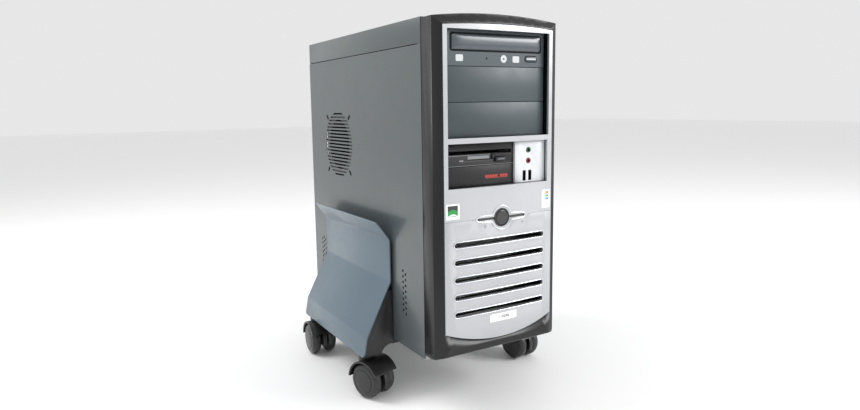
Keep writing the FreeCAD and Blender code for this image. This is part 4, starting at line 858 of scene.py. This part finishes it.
# ---------------------------------------------------------------- casters
# Radius, and distance along the axle from its middle: inner face, round tread, then the ring round the hub.
WHEEL_PROFILE = (
    (16.0, 4.3), (20.0, 5.0), (22.4, 6.8), (23.6, 9.4), (24.0, 12.4), (23.6, 15.0), (22.4, 17.4),
    (20.2, 19.1), (17.0, 19.7), (16.2, 19.2), (15.4, 19.2), (14.6, 19.9), (9.0, 20.5),
)
AXLE_PROFILE = ((3.0, -5.0), (3.0, 5.0))


def smooth_profile(points, steps=3):
    """More points on a smooth line through the given ones."""
    made = []
    last = len(points) - 1
    for i in range(last):
        p0, p1, p2, p3 = (Vector(points[max(0, min(k, last))]) for k in (i - 1, i, i + 1, i + 2))
        for k in range(steps):
            t = k / steps
            square = (2 * p0 - 5 * p1 + 4 * p2 - p3) * t * t
            cube = (3 * p1 - p0 - 3 * p2 + p3) * t ** 3
            made.append(0.5 * (2 * p1 + (p2 - p0) * t + square + cube))
    made.append(Vector(points[-1]))
    return made


def caster_wheels(corner):
    """Two thick wheels with round treads and shallow hub rings, on one axle."""
    node = "caster_wheels_" + corner
    joint = next(j for j in frame["joints"] if j["name"] == "roll_" + corner)
    centre = Vector(joint["pos_m"])
    axis = Vector(joint["axis"]).normalized()
    form = bmesh.new()
    profile = smooth_profile(WHEEL_PROFILE)
    for side in (1, -1):
        lathe(form, profile, centre, axis * side)
    lathe(form, AXLE_PROFILE, centre, axis, 24)
    wheels = finishes["caster_wheel"]
    placed_outward(node + "_round", form, wheels, "wheels_" + corner, "caster_wheel", stands_for=(node,))


# ---------------------------------------------------------------- the pieces
BEZEL_EDGE = 1.6
LONG_EDGE = 150.0
HOOD_EDGE = 1.2
EASED_EDGES = {
    "lower_fascia": 0.5,
    "left_plate": 0.5,
    "right_plate": 0.5,
    "left_base": 1.0,
    "right_base": 1.0,
    "lower_bay_blank": 0.4,
    "middle_bay_blank": 0.4,
    "optical_eject_button": 0.7,
    "small_bay_blank": 0.4,
    "floppy_drive_bezel": 0.4,
    "floppy_eject_button": 0.6,
    "front_socket_panel": 0.4,
    "top_cover": 0.6,
    "right_side_panel": 0.5,
    "mains_switch_rocker": 0.5,
    "mains_inlet": 0.5,
    "front_lock_knob": 0.6,
    "rear_lock_knob": 0.6,
}


def build_pieces():
    slot_rims()
    collar_rim()
    stickers()
    button_marks()
    drive_marks()
    tray_groove_shade()
    tray_door_front()
    eject_trim()
    drive_lamp()
    floppy_trim_and_highlights()
    blank_marks()
    for corner in ("front_left", "front_right", "rear_left", "rear_right"):
        caster_wheels(corner)
        eased("caster_fork_" + corner, HOOD_EDGE, 3)
    long_edges_eased("front_bezel", BEZEL_EDGE, LONG_EDGE)
    for node, width in EASED_EDGES.items():
        eased(node, width)


build_pieces()


# ---------------------------------------------------------------- floor, light and camera
FLOOR_REACH = 12.0
CAMERA_PLACE = (-0.475873, -0.817008, 0.387733)
CAMERA_AZIMUTH = 29.858
CAMERA_PITCH = -7.481
CAMERA_ROLL = 0.931
CAMERA_LENS = 26.258
CAMERA_SHIFT = (0.0167, -0.0181)


def make_floor():
    form = bmesh.new()
    bmesh.ops.create_grid(form, x_segments=1, y_segments=1, size=FLOOR_REACH)
    mesh = bpy.data.meshes.new("studio_floor")
    form.to_mesh(mesh)
    form.free()
    floor = bpy.data.objects.new("studio_floor", mesh)
    bpy.context.scene.collection.objects.link(floor)
    pale = Finish("pale studio floor", (0.93, 0.93, 0.93, 1), 0.6)
    pale.tint(pale.noise(3.0, 2.0) * 0.3, (0.9, 0.9, 0.9, 1))
    mesh.materials.append(pale.material)


def make_lamp(name, place, aim, width, power):
    """A square soft light that faces a point."""
    data = bpy.data.lights.new(name, "AREA")
    data.shape = "SQUARE"
    data.size = width
    data.energy = power
    lamp = bpy.data.objects.new(name, data)
    lamp.location = place
    lamp.rotation_euler = (Vector(aim) - Vector(place)).to_track_quat("-Z", "Y").to_euler()
    bpy.context.scene.collection.objects.link(lamp)


def make_camera():
    """Looks at the front and the left side, from a little above."""
    data = bpy.data.cameras.new("studio_camera")
    data.sensor_width = 36.0
    data.lens = CAMERA_LENS
    data.shift_x, data.shift_y = CAMERA_SHIFT
    data.clip_start = 0.05
    camera = bpy.data.objects.new("studio_camera", data)
    azimuth, pitch, roll = (math.radians(turn) for turn in (CAMERA_AZIMUTH, CAMERA_PITCH, CAMERA_ROLL))
    level = math.cos(pitch)
    forward = Vector((math.sin(azimuth) * level, math.cos(azimuth) * level, math.sin(pitch)))
    turn = forward.to_track_quat("-Z", "Y").to_matrix() @ Matrix.Rotation(-roll, 3, "Z")
    camera.matrix_world = Matrix.Translation(CAMERA_PLACE) @ turn.to_4x4()
    bpy.context.scene.collection.objects.link(camera)
    bpy.context.scene.camera = camera


def make_world():
    world = bpy.data.worlds.new("studio_surround")
    world.use_nodes = True
    backdrop = world.node_tree.nodes["Background"]
    backdrop.inputs["Color"].default_value = (1.0, 1.0, 1.0, 1.0)
    backdrop.inputs["Strength"].default_value = 0.8
    bpy.context.scene.world = world
    bpy.context.scene.view_settings.view_transform = "Standard"


make_floor()
make_world()
make_lamp("key_softbox", (1.7, -1.7, 1.35), (0, 0, 0.3), 1.1, 46)
make_lamp("top_softbox", (-1.1, 0.7, 1.6), (-0.09, 0.05, 0.42), 0.9, 20)
make_camera()
